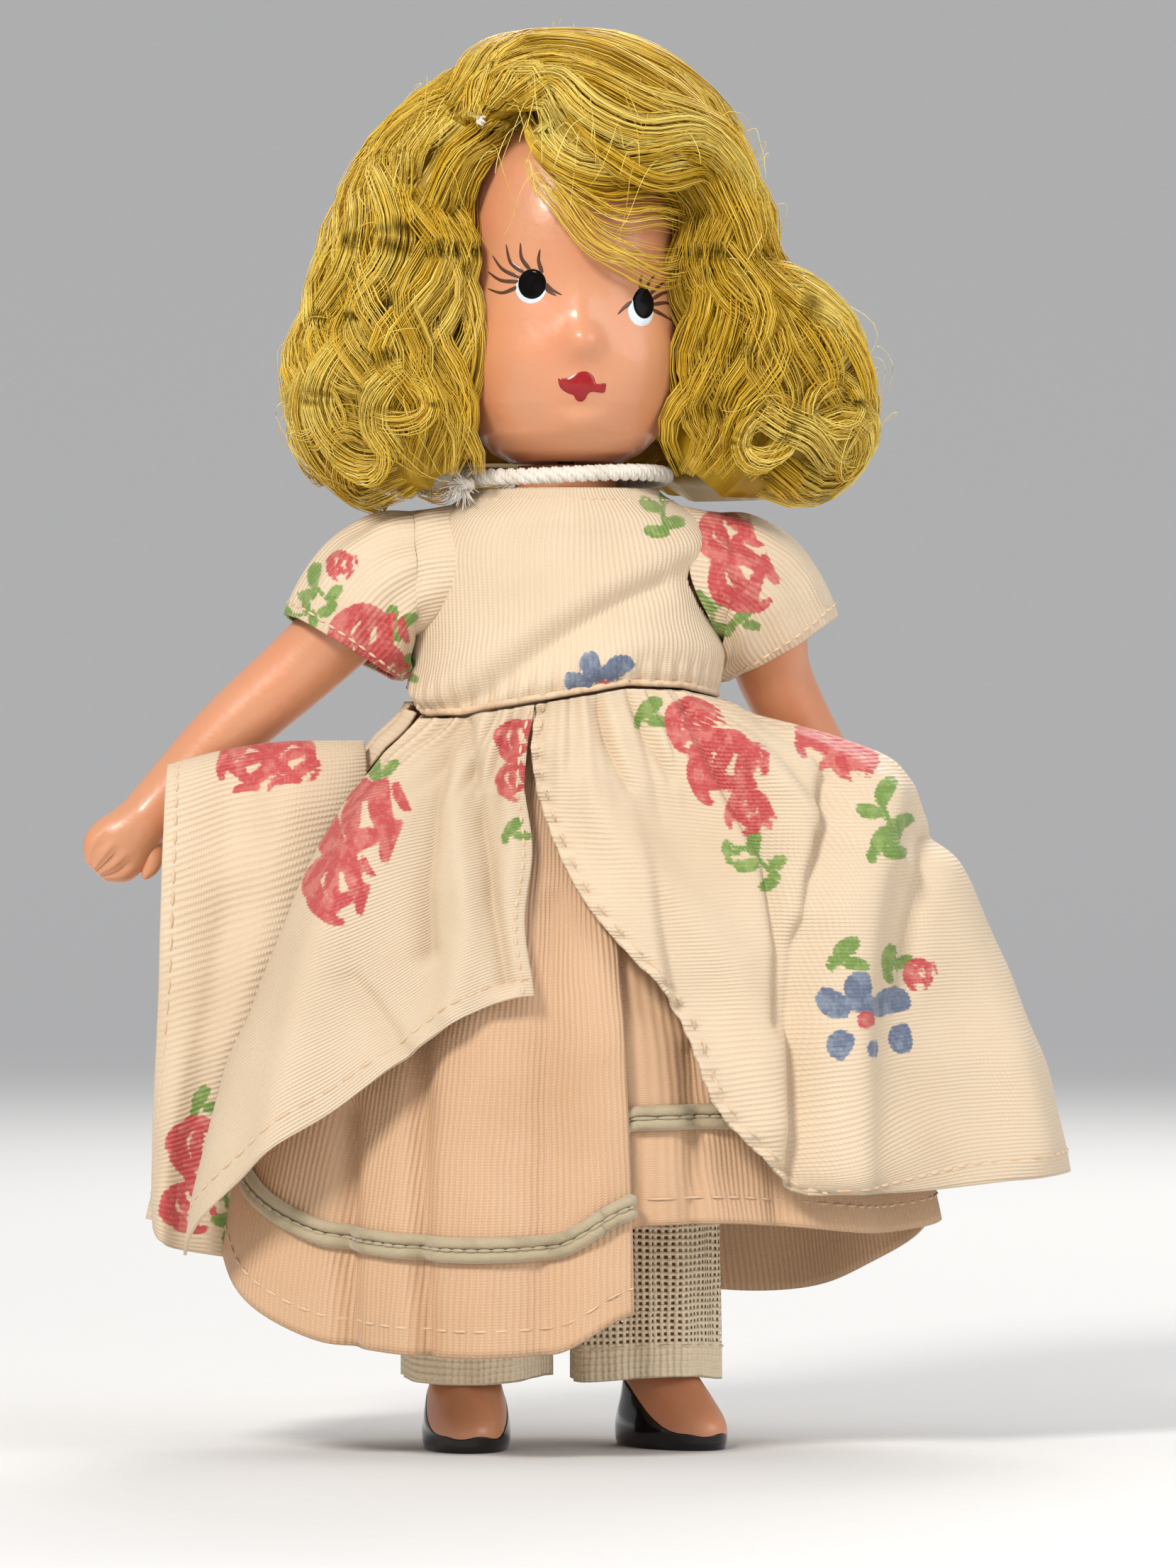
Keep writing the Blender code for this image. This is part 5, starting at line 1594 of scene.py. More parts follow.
FRONT_LOCKS = (
    Lock(4.6, 95, 0.3, 0.5, (
        (-9.8, 131.5), (-8.0, 135.5), (-4.2, 138.3), (1.3, 138.3), (6.7, 135.9), (12.2, 132.4),
        (15.7, 127.8), (16.5, 123.9),
    )),
    Lock(4.2, 90, 0.5, 0.5, (
        (-10.2, 132.6), (-8.4, 136.7), (-4.2, 139.4), (1.3, 139.6), (7.5, 137.5), (13.8, 134.0),
        (17.6, 128.5), (18.0, 124.3),
    )),
    Lock(3.8, 80, 0.5, 0.45, (
        (-10.6, 133.6), (-8.8, 137.5), (-4.9, 139.6), (-0.3, 140.1), (5.2, 138.9), (11.0, 136.1),
        (15.7, 132.4), (18.4, 127.0),
    )),
    Lock(4.2, 90, 0.3, 0.45, (
        (-9.6, 130.9), (-7.3, 134.8), (-3.4, 136.7), (1.3, 136.3), (6.0, 134.0), (10.6, 131.6),
        (14.1, 128.5), (14.9, 125.0),
    )),
    Lock(3.6, 90, 1.0, 0.7, (
        (-6.5, 132.4), (-4.9, 135.5), (-2.6, 135.9), (-1.4, 132.4), (0.5, 128.9), (4.8, 127.8),
        (9.1, 129.3), (13.0, 129.3), (15.7, 126.2), (15.3, 122.3),
    )),
    Lock(3.0, 80, 0.9, 0.8, (
        (-4.9, 132.0), (-3.4, 134.0), (-2.6, 132.0), (-1.0, 128.1), (2.9, 126.2), (7.5, 127.0),
        (11.4, 128.1), (14.1, 125.8), (14.1, 122.3),
    )),
    Lock(2.4, 60, 0.6, 0.5, (
        (-4.2, 131.6), (-3.0, 131.3), (-1.8, 127.8), (1.3, 125.8), (5.6, 125.8), (9.5, 127.0),
        (12.6, 126.6), (13.4, 123.1),
    )),
    Lock(4.0, 95, 0.9, 0.75, (
        (-3.4, 134.8), (-0.3, 135.2), (2.1, 132.4), (6.0, 130.1), (9.9, 130.5), (13.8, 129.7),
        (16.9, 126.2), (16.5, 121.5),
    )),
    Lock(4.2, 95, 0.7, 0.6, (
        (-3.4, 136.3), (1.3, 135.9), (5.2, 133.6), (9.1, 132.4), (13.4, 131.3), (16.5, 128.1),
        (17.6, 123.9), (16.1, 119.2),
    )),
    Lock(3.2, 90, 0.3, 0.35, (
        (4.0, 127.2), (8.4, 128.6), (12.2, 128.2), (14.3, 125.2), (14.4, 121.0), (14.0, 117.0),
    )),
    Lock(3.0, 80, 0.2, 0.3, (
        (6.0, 126.0), (9.8, 127.2), (12.4, 125.6), (13.2, 122.0), (13.0, 118.0), (12.8, 114.0),
    )),
    Lock(2.4, 70, 0.1, 0.45, (
        (-9.4, 131.4), (-9.0, 133.6), (-7.0, 136.6), (-3.6, 138.6), (1.0, 138.8),
    )),
    Lock(2.4, 70, 0.1, 0.5, ((-8.2, 131.6), (-7.8, 133.8), (-5.8, 136.4), (-2.4, 138.0), (2.4, 137.6))),
    Lock(2.4, 70, 0.1, 0.55, (
        (-7.0, 131.8), (-6.4, 133.8), (-4.4, 136.0), (-1.0, 137.2), (3.8, 136.2),
    )),
    Lock(2.4, 70, 0.1, 0.5, ((-5.6, 131.8), (-5.0, 133.6), (-3.0, 135.4), (0.4, 136.0), (5.0, 134.6))),
    Lock(2.2, 60, 0.1, 0.45, ((-4.4, 131.6), (-3.8, 133.2), (-1.8, 134.6), (1.6, 134.8), (6.0, 133.0))),
    Lock(3.0, 22, 0.4, 0.6, ((-1.8, 126.2), (1.3, 123.5), (5.2, 121.5), (9.1, 122.3), (12.6, 120.7))),
    Lock(3.4, 26, 0.4, 0.55, ((-1.4, 125.4), (1.7, 120.7), (5.6, 117.6), (9.1, 116.5), (12.2, 117.2))),
    Lock(3.0, 30, 0.4, 0.5, ((-0.3, 125.0), (4.0, 123.1), (8.7, 123.9), (13.0, 121.5))),
    Lock(3.6, 18, 0.4, 0.6, ((-3.4, 127.8), (-0.3, 123.1), (3.6, 119.2), (7.9, 118.4), (12.2, 119.2))),
    Lock(4.4, 95, 0.4, 0.75, (
        (14.5, 129.7), (17.3, 126.2), (16.9, 121.5), (14.5, 119.2), (15.7, 116.9), (20.4, 115.7),
        (26.2, 114.5), (29.3, 111.4), (29.3, 107.5), (26.2, 105.6),
    )),
    Lock(4.2, 90, 0.6, 0.6, (
        (15.7, 128.5), (18.0, 124.6), (17.3, 120.0), (16.1, 117.6), (19.2, 116.1), (23.9, 115.7),
        (27.8, 113.7), (29.7, 109.8), (27.8, 106.0), (23.9, 106.0),
    )),
    Lock(4.2, 85, 0.8, 0.65, (
        (13.8, 123.9), (14.1, 119.2), (15.7, 115.3), (19.2, 113.7), (23.5, 113.0), (26.2, 110.6),
        (25.8, 107.5), (22.7, 106.7),
    )),
    Lock(4.2, 80, 0.5, 0.4, (
        (13.4, 120.7), (13.8, 116.1), (15.3, 112.2), (18.4, 110.2), (21.9, 109.5), (23.5, 107.5),
        (21.5, 105.6),
    )),
    Lock(4.4, 85, 0.4, 0.6, (
        (16.5, 111.4), (16.9, 106.7), (17.6, 102.8), (20.8, 99.7), (24.3, 96.6), (28.2, 98.2),
        (30.1, 101.3), (28.5, 104.4), (25.4, 104.0),
    )),
    Lock(4.2, 90, 0.6, 0.6, (
        (14.5, 113.0), (14.9, 107.5), (15.7, 102.5), (18.4, 98.6), (22.3, 95.8), (26.6, 96.2),
        (29.3, 99.3), (28.2, 102.8), (25.0, 102.8), (23.5, 100.5),
    )),
    Lock(4.0, 70, 0.8, 0.7, (
        (18.4, 109.1), (18.8, 105.2), (20.8, 102.5), (23.5, 101.3), (26.2, 99.3), (28.2, 100.5),
    )),
    Lock(4.4, 75, 0.4, 0.4, ((16.1, 105.6), (17.6, 101.3), (20.8, 97.8), (24.3, 96.2), (27.4, 96.6))),
    Lock(3.0, 75, 0.4, 0.35, (
        (13.4, 119.2), (13.0, 113.7), (12.6, 108.3), (12.2, 103.6), (9.9, 100.5), (7.1, 99.3),
    )),
    Lock(3.6, 80, 0.5, 0.4, (
        (14.1, 117.6), (13.8, 111.4), (13.8, 106.0), (13.0, 101.7), (11.0, 99.3), (9.1, 98.6),
    )),
    Lock(3.8, 80, 0.5, 0.5, ((14.9, 115.3), (14.9, 109.1), (14.9, 103.6), (14.1, 99.3), (12.6, 97.8))),
    Lock(3.4, 85, 0.5, 0.5, (
        (-10.2, 130.9), (-11.2, 127.0), (-9.6, 123.1), (-10.0, 119.2), (-11.6, 115.3), (-11.6, 111.4),
        (-11.2, 108.3), (-12.7, 106.3),
    )),
    Lock(3.8, 90, 0.7, 0.65, (
        (-10.6, 131.6), (-12.7, 128.1), (-11.9, 124.3), (-10.8, 120.4), (-12.3, 116.9), (-13.9, 113.0),
        (-13.1, 109.1), (-11.6, 106.3), (-12.7, 104.4),
    )),
    Lock(4.2, 90, 0.6, 0.6, (
        (-10.8, 132.4), (-14.7, 129.3), (-15.1, 125.4), (-13.5, 121.5), (-14.3, 117.6), (-16.6, 113.7),
        (-17.0, 110.2), (-15.1, 107.5), (-13.5, 105.2),
    )),
    Lock(4.2, 90, 0.6, 0.55, (
        (-11.0, 133.2), (-16.2, 130.5), (-17.8, 126.2), (-16.2, 122.3), (-16.6, 118.4), (-18.9, 114.9),
        (-20.1, 111.4), (-18.6, 108.3), (-16.2, 106.3),
    )),
    Lock(4.2, 90, 0.5, 0.5, (
        (-11.2, 133.8), (-17.0, 131.3), (-19.7, 127.0), (-18.9, 122.7), (-19.7, 118.4), (-22.1, 114.9),
        (-23.6, 111.0), (-22.8, 107.5), (-20.5, 105.2), (-18.2, 105.2),
    )),
    Lock(3.8, 80, 0.4, 0.5, (
        (-11.2, 134.2), (-15.8, 132.4), (-20.5, 127.8), (-22.5, 122.3), (-22.8, 117.6), (-24.8, 113.7),
        (-26.3, 109.5), (-26.7, 106.0), (-24.8, 103.2), (-22.1, 102.1),
    )),
    Lock(4.0, 75, 0.8, 0.6, (
        (-20.5, 110.6), (-22.8, 107.5), (-23.6, 104.0), (-22.1, 100.5), (-18.9, 98.9), (-15.8, 98.9),
    )),
    Lock(4.0, 80, 0.5, 0.5, (
        (-24.4, 107.5), (-25.6, 103.6), (-24.0, 99.7), (-20.9, 96.6), (-17.4, 95.8), (-14.7, 97.0),
    )),
    Lock(3.8, 75, 0.8, 0.6, (
        (-16.6, 107.5), (-18.6, 104.4), (-17.8, 101.3), (-14.7, 99.7), (-11.6, 99.7), (-9.6, 101.3),
    )),
    Lock(3.4, 65, 0.9, 0.7, (
        (-12.7, 106.3), (-15.1, 104.0), (-14.7, 101.3), (-11.9, 99.3), (-9.2, 99.3),
    )),
    Lock(4.0, 75, 0.5, 0.45, (
        (-22.1, 101.3), (-21.7, 97.8), (-19.7, 95.1), (-16.6, 94.3), (-13.5, 95.8),
    )),
    Lock(2.6, 50, 0.5, 0.3, ((-11.2, 107.5), (-9.6, 104.4), (-8.8, 101.3), (-7.3, 99.3))),
    Lock(2.2, 55, 0.3, 0.4, (
        (-9.4, 129.7), (-9.2, 125.0), (-9.0, 121.1), (-9.8, 117.2), (-10.8, 113.0), (-10.8, 109.1),
    )),
)


# How many strands a front lock gets for each one in the table
FRONT_STRANDS = 1.15


def hair_reach(angle: float, z: float) -> float:
    """How far the wig reaches from the neck's axis at an angle and a height."""
    right, left, forwards, backwards = at_height(HAIR, z)
    turn = math.radians(angle)
    across = math.sin(turn) / (left if math.sin(turn) > 0 else right)
    along = math.cos(turn) / (forwards if math.cos(turn) > 0 else backwards)
    return 1 / math.hypot(across, along)


def hair_point(angle: float, z: float, out: float = 0.0) -> Vector:
    """A point of the wig's outside at an angle and a height."""
    reach = hair_reach(angle, z) + out
    turn = math.radians(angle)
    return Vector((reach * math.sin(turn), -reach * math.cos(turn), max(z, hair_floor(reach))))


def hair_floor(reach: float) -> float:
    """The lowest height of the wig at a distance from the neck's axis: clear of the dress."""
    return 94.4 + 4.2 * smooth_step(17.5, 12.5, reach)


def hair_edge(angle: float) -> float:
    """Height of the wig's lower edge: the hairline over the face, and the shoulders elsewhere."""
    turn = fold_angle(angle)
    hairline = 132.8 - 6.0 * smooth_step(-10, 20, turn)
    hairline += (121.0 - hairline) * smooth_step(48, 60, abs(turn))
    return hairline + (94.8 - hairline) * smooth_step(56, 66, abs(turn))


# Points along the parting, from the hairline over the top
PARTING = (
    (-9.9, -12.4, 129.6), (-11.0, -11.0, 133.4), (-8.4, -7.0, 138.0), (-2.0, 2.0, 139.6), (1.0, 9.0, 137.5),
)
CHIN_Z = 104.0
WIG_FLOOR_Z = 94.6
# Layers of locks round the back, from the top down: how many, and the height where they start
BACK_LAYERS = ((30, 139.2), (26, 131.0), (26, 118.0))


@dataclass
class Wig:
    """The mohair wig: an underlying mass, locks of strands over it, and loose hairs."""

    finishes: Finishes
    head: Head
    rng: random.Random = field(default_factory=lambda: random.Random(7))
    paths: list[np.ndarray] = field(default_factory=list)
    radii: list[np.ndarray] = field(default_factory=list)
    tones: list[float] = field(default_factory=list)

    def build(self) -> None:
        """Makes the wig."""
        self.mass()
        self.edge_locks()
        for lock in FRONT_LOCKS:
            count = round(lock.strands * FRONT_STRANDS)
            self.lay(self.seen_path(lock.path), lock.width, count, lock.lift, lock.tone, bulk=2.2)
        self.back_locks()
        self.flush("wig_locks")
        self.loose()
        self.flush("wig_loose_hairs")
        self.parting()

    def mass(self) -> None:
        """The body of hair under the locks, from just off the head to a little inside the outline. Its
        darker colours are painted shade, and its tone is lighter on its ripples' crests and darker in their
        dips: painted light and shade.
        """
        columns, rows = 180, 70
        inner_top, outer_top = 135.6, 139.4
        points, tones = [], []
        for layer in (0, 1):
            for j in range(rows + 1):
                for i in range(columns):
                    angle = 360 * i / columns - 180
                    edge = hair_edge(angle)
                    top = outer_top if layer else inner_top
                    z = top + (edge - top) * j / rows
                    if layer:
                        point = hair_point(angle, z, -1.3)
                        near = min((point - Vector(p)).length for p in PARTING[:3])
                        point *= 1 - 0.03 * smooth_step(3.0, 0.0, near)
                    else:
                        point = around(HEAD, angle, max(z, CHIN_Z), 0.9)
                        point.z = max(z, hair_floor(point.xy.length))
                    ripple = wrinkle(point, 2.4, 5.5) + 0.6 * wrinkle(point, 1.0, 2.5)
                    swell = 0.8 * math.sin(z * 0.44 + 1.4 * math.sin(math.radians(2 * angle)))
                    swell *= smooth_step(48, 62, abs(angle)) * smooth_step(137, 128, z)
                    point += away(point) * (0.35 * ripple + swell) * layer
                    points.append(tuple(point))
                    # Tone follows the ripples: painted light on their crests and painted shade in their
                    # dips.
                    tones.append(0.28 + 0.2 * ripple)
        size, low = (rows + 1) * columns, rows * columns
        outside = ring_faces(size, columns, rows, turned=True)
        faces = ring_faces(0, columns, rows) + outside
        for i in range(columns):
            k = (i + 1) % columns
            faces.append((low + i, low + k, size + low + k, size + low + i))
            faces.append((i, size + i, size + k, k))
        mass = raw_mesh("wig_mass", points, faces, self.finishes.underhair)
        set_attribute(mass, "tone", np.array(tones))
        nodes = ("wig_cap", "hair_crown", "hair_curl_left", "hair_curl_right", "hair_back")
        place_piece(mass, Body.HEAD, "mohair", *nodes)
        self.tree = BVHTree.FromPolygons(points, outside)

    def seen_path(self, path: Outline) -> tuple[np.ndarray, np.ndarray]:
        """Lays a line that the camera sees at x and z on the wig, or on the face below it."""
        turn = math.radians(CAMERA_TURN)
        right = Vector((math.cos(turn), -math.sin(turn), 0))
        ahead = Vector((math.sin(turn), math.cos(turn), 0))
        found, normals = [], []
        steps = 21
        for step in range(steps):
            x, z = spline(path, step / (steps - 1))
            start = right * x + Vector((0, 0, z))
            eye = start - ahead * 60
            hit, normal, _, far = self.tree.ray_cast(eye, ahead)
            skin, facing, _, near = self.head.tree.ray_cast(eye, ahead)
            if skin is not None and (hit is None or near < far):
                hit, normal = skin - ahead * 0.7, facing
            if hit is None:
                hit, normal, _, _ = self.tree.find_nearest(start + ahead * 2.0)
            if normal.dot(ahead) > 0.2:
                normal = -normal
            found.append(tuple(hit))
            normals.append(tuple(normal))
        return smoothed(np.array(found), 3), smoothed(np.array(normals), 3)

    def edge_locks(self) -> None:
        """Locks over the wig's inner edge, beside the face and along the hairline."""
        for side in (-1, 1):
            for index in range(11):
                share = (index + 0.3) / 10.5
                phase = self.rng.uniform(0, FULL_TURN)
                points, normals = [], []
                for step in range(18):
                    t = step / 17
                    z = 125.0 + (95.2 - 125.0) * t
                    wave = z * 0.42 + phase
                    angle = side * (54.0 + 9.0 * smooth_step(0.05, 0.7, t) + 2.6 * math.sin(wave))
                    inner = around(HEAD, angle, max(z, CHIN_Z), 1.1)
                    point = inner.lerp(hair_point(angle, z, -0.6), share + 0.13 * math.sin(wave + 1))
                    turn = math.radians(angle)
                    facing = Vector((-side * math.cos(turn), -abs(math.sin(turn)), 0))
                    sunk = 2.4 * smooth_step(0.22, 0.0, t)
                    points.append(Vector((point.x, point.y, max(z, WIG_FLOOR_Z))) + facing * (0.5 - sunk))
                    normals.append(facing)
                self.lay((points, normals), 2.8, 52, 0.0, 0.45, ragged=0.22)
        brow_end = 56
        for first, last, count in ((-6.0, 64.0, 6), (-40.0, -62.0, 3)):
            for index in range(count):
                share = (index + 0.4) / count
                points, normals = [], []
                for step in range(22):
                    angle = first + (last - first) * step / 21
                    past = max(0.0, abs(angle) - brow_end)
                    z = hair_edge(math.copysign(brow_end, angle) if past else angle) - past * 0.5
                    point = around(HEAD, angle, z, 0.9).lerp(hair_point(angle, z, -0.9), share)
                    points.append((point.x, point.y, z - 0.2 + 0.35 * math.sin(angle * 0.2 + index)))
                    turn = math.radians(angle)
                    normals.append((0.5 * math.sin(turn), -0.5 * math.cos(turn), -0.85))
                self.lay((points, normals), 2.4, 46, 0.0, 0.45)

    def lay(
        self,
        line: tuple[Sequence[Sequence[float]], Sequence[Sequence[float]]],
        width: float,
        count: int,
        lift: float,
        tone: float,
        frizz: float = 0.05,
        bulk: float = 1.5,
        ragged: float = 0.12,
    ) -> None:
        """Adds the strands of one lock along a line with normals."""
        centre, normals = (np.array(part, float) for part in line)
        steps = len(centre)
        ahead = np.gradient(centre, axis=0)
        ahead /= np.linalg.norm(ahead, axis=1, keepdims=True) + 1e-9
        normals = normals - ahead * (normals * ahead).sum(axis=1, keepdims=True)
        normals /= np.linalg.norm(normals, axis=1, keepdims=True) + 1e-9
        side = np.cross(ahead, normals)
        length = np.concatenate([[0], np.cumsum(np.linalg.norm(np.diff(centre, axis=0), axis=1))])
        share = np.linspace(0, 1, steps)
        profile = 0.35 + 0.65 * np.sin(np.pi * np.clip(share * 0.9 + 0.08, 0, 1)) ** 0.6
        phase = self.rng.uniform(0, FULL_TURN)
        for _ in range(count):
            across = self.rng.uniform(-1, 1)
            deep = self.rng.uniform(0, 1)
            dome = math.sqrt(1 - across * across)
            own = self.rng.uniform(-0.5, 0.5)
            sway = 0.16 * np.sin(length * 0.8 + phase + own) + 0.035 * np.sin(length * 2.6 + own * 9)
            drift = np.cumsum(np.array([self.rng.gauss(0, frizz) for _ in range(steps)])) * 0.35
            out = lift + (deep * bulk * dome + 0.15) * profile + 0.5 * drift * (share**2)
            sideways = across * width / 2 * profile + sway + drift
            path = centre + side * sideways[:, None] + normals * out[:, None]
            first = int(self.rng.uniform(0, ragged) * steps)
            last = int(self.rng.uniform(0.82, 1.0) * steps)
            keep = path[first : max(last, first + 6)]
            taper = np.sin(np.pi * np.linspace(0.12, 0.97, len(keep))) ** 0.5
            self.paths.append(keep)
            self.radii.append(self.rng.uniform(0.035, 0.07) * taper)
            # Strands deep in the lock get a darker tone and outer ones a lighter one: painted shade and
            # light. The gauss term is random tone.
            self.tones.append(min(1.0, max(0.0, tone + self.rng.gauss(0, 0.11) + (deep - 0.6) * 0.3)))

    def back_locks(self) -> None:
        """Waved locks over the top, the sides and the back, with curled ends."""
        wave_length, first_angle, spread = 17.0, 62, 236
        for layer, (count, start_z) in enumerate(BACK_LAYERS):
            for index in range(count):
                base = first_angle + spread * (index + 0.5 * (layer % 2)) / count
                phase = self.rng.uniform(0, FULL_TURN)
                low = 96.5 + self.rng.uniform(0, 2.5)
                points, normals = [], []
                for step in range(18):
                    t = step / 17
                    z = start_z + (low - start_z) * t
                    wave = (1.5 + 4.5 * t) * math.sin(2 * math.pi * (start_z - z) / wave_length + phase)
                    curl = smooth_step(0.8, 1.0, t)
                    z += curl * 3.5
                    swell = 0.9 * math.cos(2 * math.pi * (start_z - z) / wave_length + phase) - 0.5
                    points.append(hair_point(base + wave + 7 * curl, z, swell - 0.7))
                    turn = math.radians(base + wave)
                    normals.append((math.sin(turn), -math.cos(turn), 0.25))
                self.lay((points, normals), 5.4, 46, -0.3, 0.5, bulk=2.0)
        for index in range(22):
            base = 60 + 240 * index / 21 + self.rng.uniform(-3, 3)
            middle = 99.5 + 4.5 * (index % 2) + self.rng.uniform(-1, 1)
            turns, size = self.rng.uniform(1.0, 1.5), self.rng.uniform(2.6, 3.6)
            spin = self.rng.choice((-1, 1))
            points, normals = [], []
            for step in range(20):
                t = step / 19
                angle = 2 * math.pi * turns * t * spin + 1.57
                radius = size * (1 - 0.45 * t)
                wide = math.degrees(radius * math.cos(angle) / hair_reach(base, middle))
                points.append(hair_point(base + wide, middle + radius * math.sin(angle), -0.2))
                turn = math.radians(base)
                normals.append((math.sin(turn), -math.cos(turn), 0.1))
            self.lay((points, normals), 2.8, 38, 0.2, 0.6)

    def loose(self) -> None:
        """Fine hairs that stand off the outline."""
        for _ in range(210):
            angle = self.rng.uniform(-180, 180)
            z = self.rng.uniform(98, 138)
            if abs(angle) < 50:
                z = self.rng.uniform(126, 138)
            drift, rise = self.rng.uniform(-16, 16), self.rng.uniform(-8, 8)
            peak = self.rng.uniform(0.4, 2.6)
            points = []
            for step in range(12):
                t = step / 11
                out = peak * math.sin(math.pi * (0.15 + 0.8 * t)) + 0.3 * math.sin(9 * t + angle)
                height = z + rise * t + 1.2 * math.sin(5 * t)
                points.append(tuple(hair_point(angle + drift * t, height, out)))
            self.paths.append(np.array(points))
            self.radii.append(np.linspace(0.045, 0.02, 12))
            self.tones.append(self.rng.uniform(0.5, 1.0))

    def flush(self, name: str) -> None:
        """Makes pieces of the strands laid so far, each small enough to stay light."""
        most = 1100
        for part, first in enumerate(range(0, len(self.paths), most)):
            chosen = slice(first, first + most)
            paths, radii, tones = self.paths[chosen], self.radii[chosen], self.tones[chosen]
            piece = tubes(f"{name}_{part + 1}", paths, radii, self.finishes.mohair, 3, tones)
            place_piece(piece, Body.HEAD, "mohair")
        self.paths, self.radii, self.tones = [], [], []

    def parting(self) -> None:
        """The white stitches along the parting, one over another."""
        line = [Vector(p) for p in PARTING]
        lift, whole_line = 0.45, 24
        paths, radii = [], []
        for index in range(15):
            here = Vector(spline(line, (index + 0.2) / whole_line))
            after = Vector(spline(line, (index + 1.5) / whole_line))
            place, facing, _, _ = self.tree.find_nearest(here)
            next_place, next_facing, _, _ = self.tree.find_nearest(after)
            start, end = place + facing * lift, next_place + next_facing * lift
            across = (end - start).cross(facing).normalized() * (0.42 if index % 2 else -0.42)
            middle = (start + end) / 2 + facing * lift
            paths.append(np.array([start - across, (start + middle) / 2, middle, end + across]))
            radii.append(np.array([0.12, 0.24, 0.24, 0.12]))
        piece = tubes("parting_stitches", paths, radii, self.finishes.cord, 6)
        place_piece(piece, Body.HEAD, "white_thread", "parting_thread")


def smoothed(points: np.ndarray, times: int) -> np.ndarray:
    """The points after they are drawn towards their neighbours; the ends stay."""
    for _ in range(times):
        points[1:-1] = (points[:-2] + 2 * points[1:-1] + points[2:]) / 4
    return points


# Limbs and body

ARM_RADII = (4.2, 4.3, 4.3, 4.1, 3.8, 3.5, 3.1, 2.8)
ARMS = {
    Side.RIGHT: (
        (12.0, 0.0, 87.5), (15.0, 0.0, 87.3), (18.4, 0.7, 85.6), (21.6, 1.8, 82.4), (26.4, 3.0, 77.8),
        (33.1, 3.9, 71.8), (38.9, 4.4, 65.7), (42.0, 4.2, 62.5),
    ),
    Side.LEFT: (
        (12.0, 0.0, 87.5), (15.8, 0.0, 87.3), (19.0, 0.8, 85.4), (20.6, 2.4, 81.6), (21.8, 4.4, 77.4),
        (24.6, 6.8, 72.4), (28.4, 9.2, 67.0), (30.4, 10.4, 64.2),
    ),
}
HAND = ((0.0, 2.8, 2.8), (1.6, 3.0, 2.5), (3.6, 3.4, 2.2), (5.6, 3.0, 1.9), (7.0, 1.5, 1.0))
HIP_X, HIP_Z, HIP_RADIUS = 7.8, 60.0, 8.0
FOOT_OUT = {Side.LEFT: 9.2, Side.RIGHT: 10.2}
FOOT_TURN = {Side.LEFT: 26.0, Side.RIGHT: 4.0}
LEG = ((50.0, 5.0), (42.0, 4.5), (35.0, 4.0), (27.0, 4.3), (20.0, 3.9), (14.0, 3.3))
FOOT = (
    (10.0, 0.0, 3.2, 3.4), (7.4, -0.6, 3.4, 4.0), (5.0, -1.7, 3.9, 5.7), (2.6, -2.5, 4.3, 7.4),
    (0.8, -2.5, 4.3, 7.5), (0.0, -2.5, 4.1, 7.3),
)
TORSO = (
    (98.0, 4.8, 4.8, 0.0), (95.0, 5.5, 5.0, 0.0), (93.5, 8.0, 6.0, 0.0), (90.0, 11.5, 7.0, 0.0),
    (84.0, 11.0, 7.5, 0.0), (76.0, 10.2, 7.8, 0.0), (70.0, 11.0, 8.5, 0.0), (63.0, 12.0, 9.0, 0.0),
    (58.0, 11.0, 8.0, 0.0), (55.0, 8.0, 6.0, 0.0),
)


def loft(name: str, rings: Sequence[Sequence[Vector]], material: bpy.types.Material) -> bpy.types.Object:
    """A closed piece through rings of equal length."""
    count = len(rings[0])
    points = [point for ring in rings for point in ring]
    faces = ring_faces(0, count, len(rings) - 1)
    faces.append(tuple(reversed(range(count))))
    faces.append(tuple(range((len(rings) - 1) * count, len(rings) * count)))
    piece = raw_mesh(name, points, faces, material)
    face_outwards(piece)
    deselect()
    return piece


MITTEN_RINGS = 31


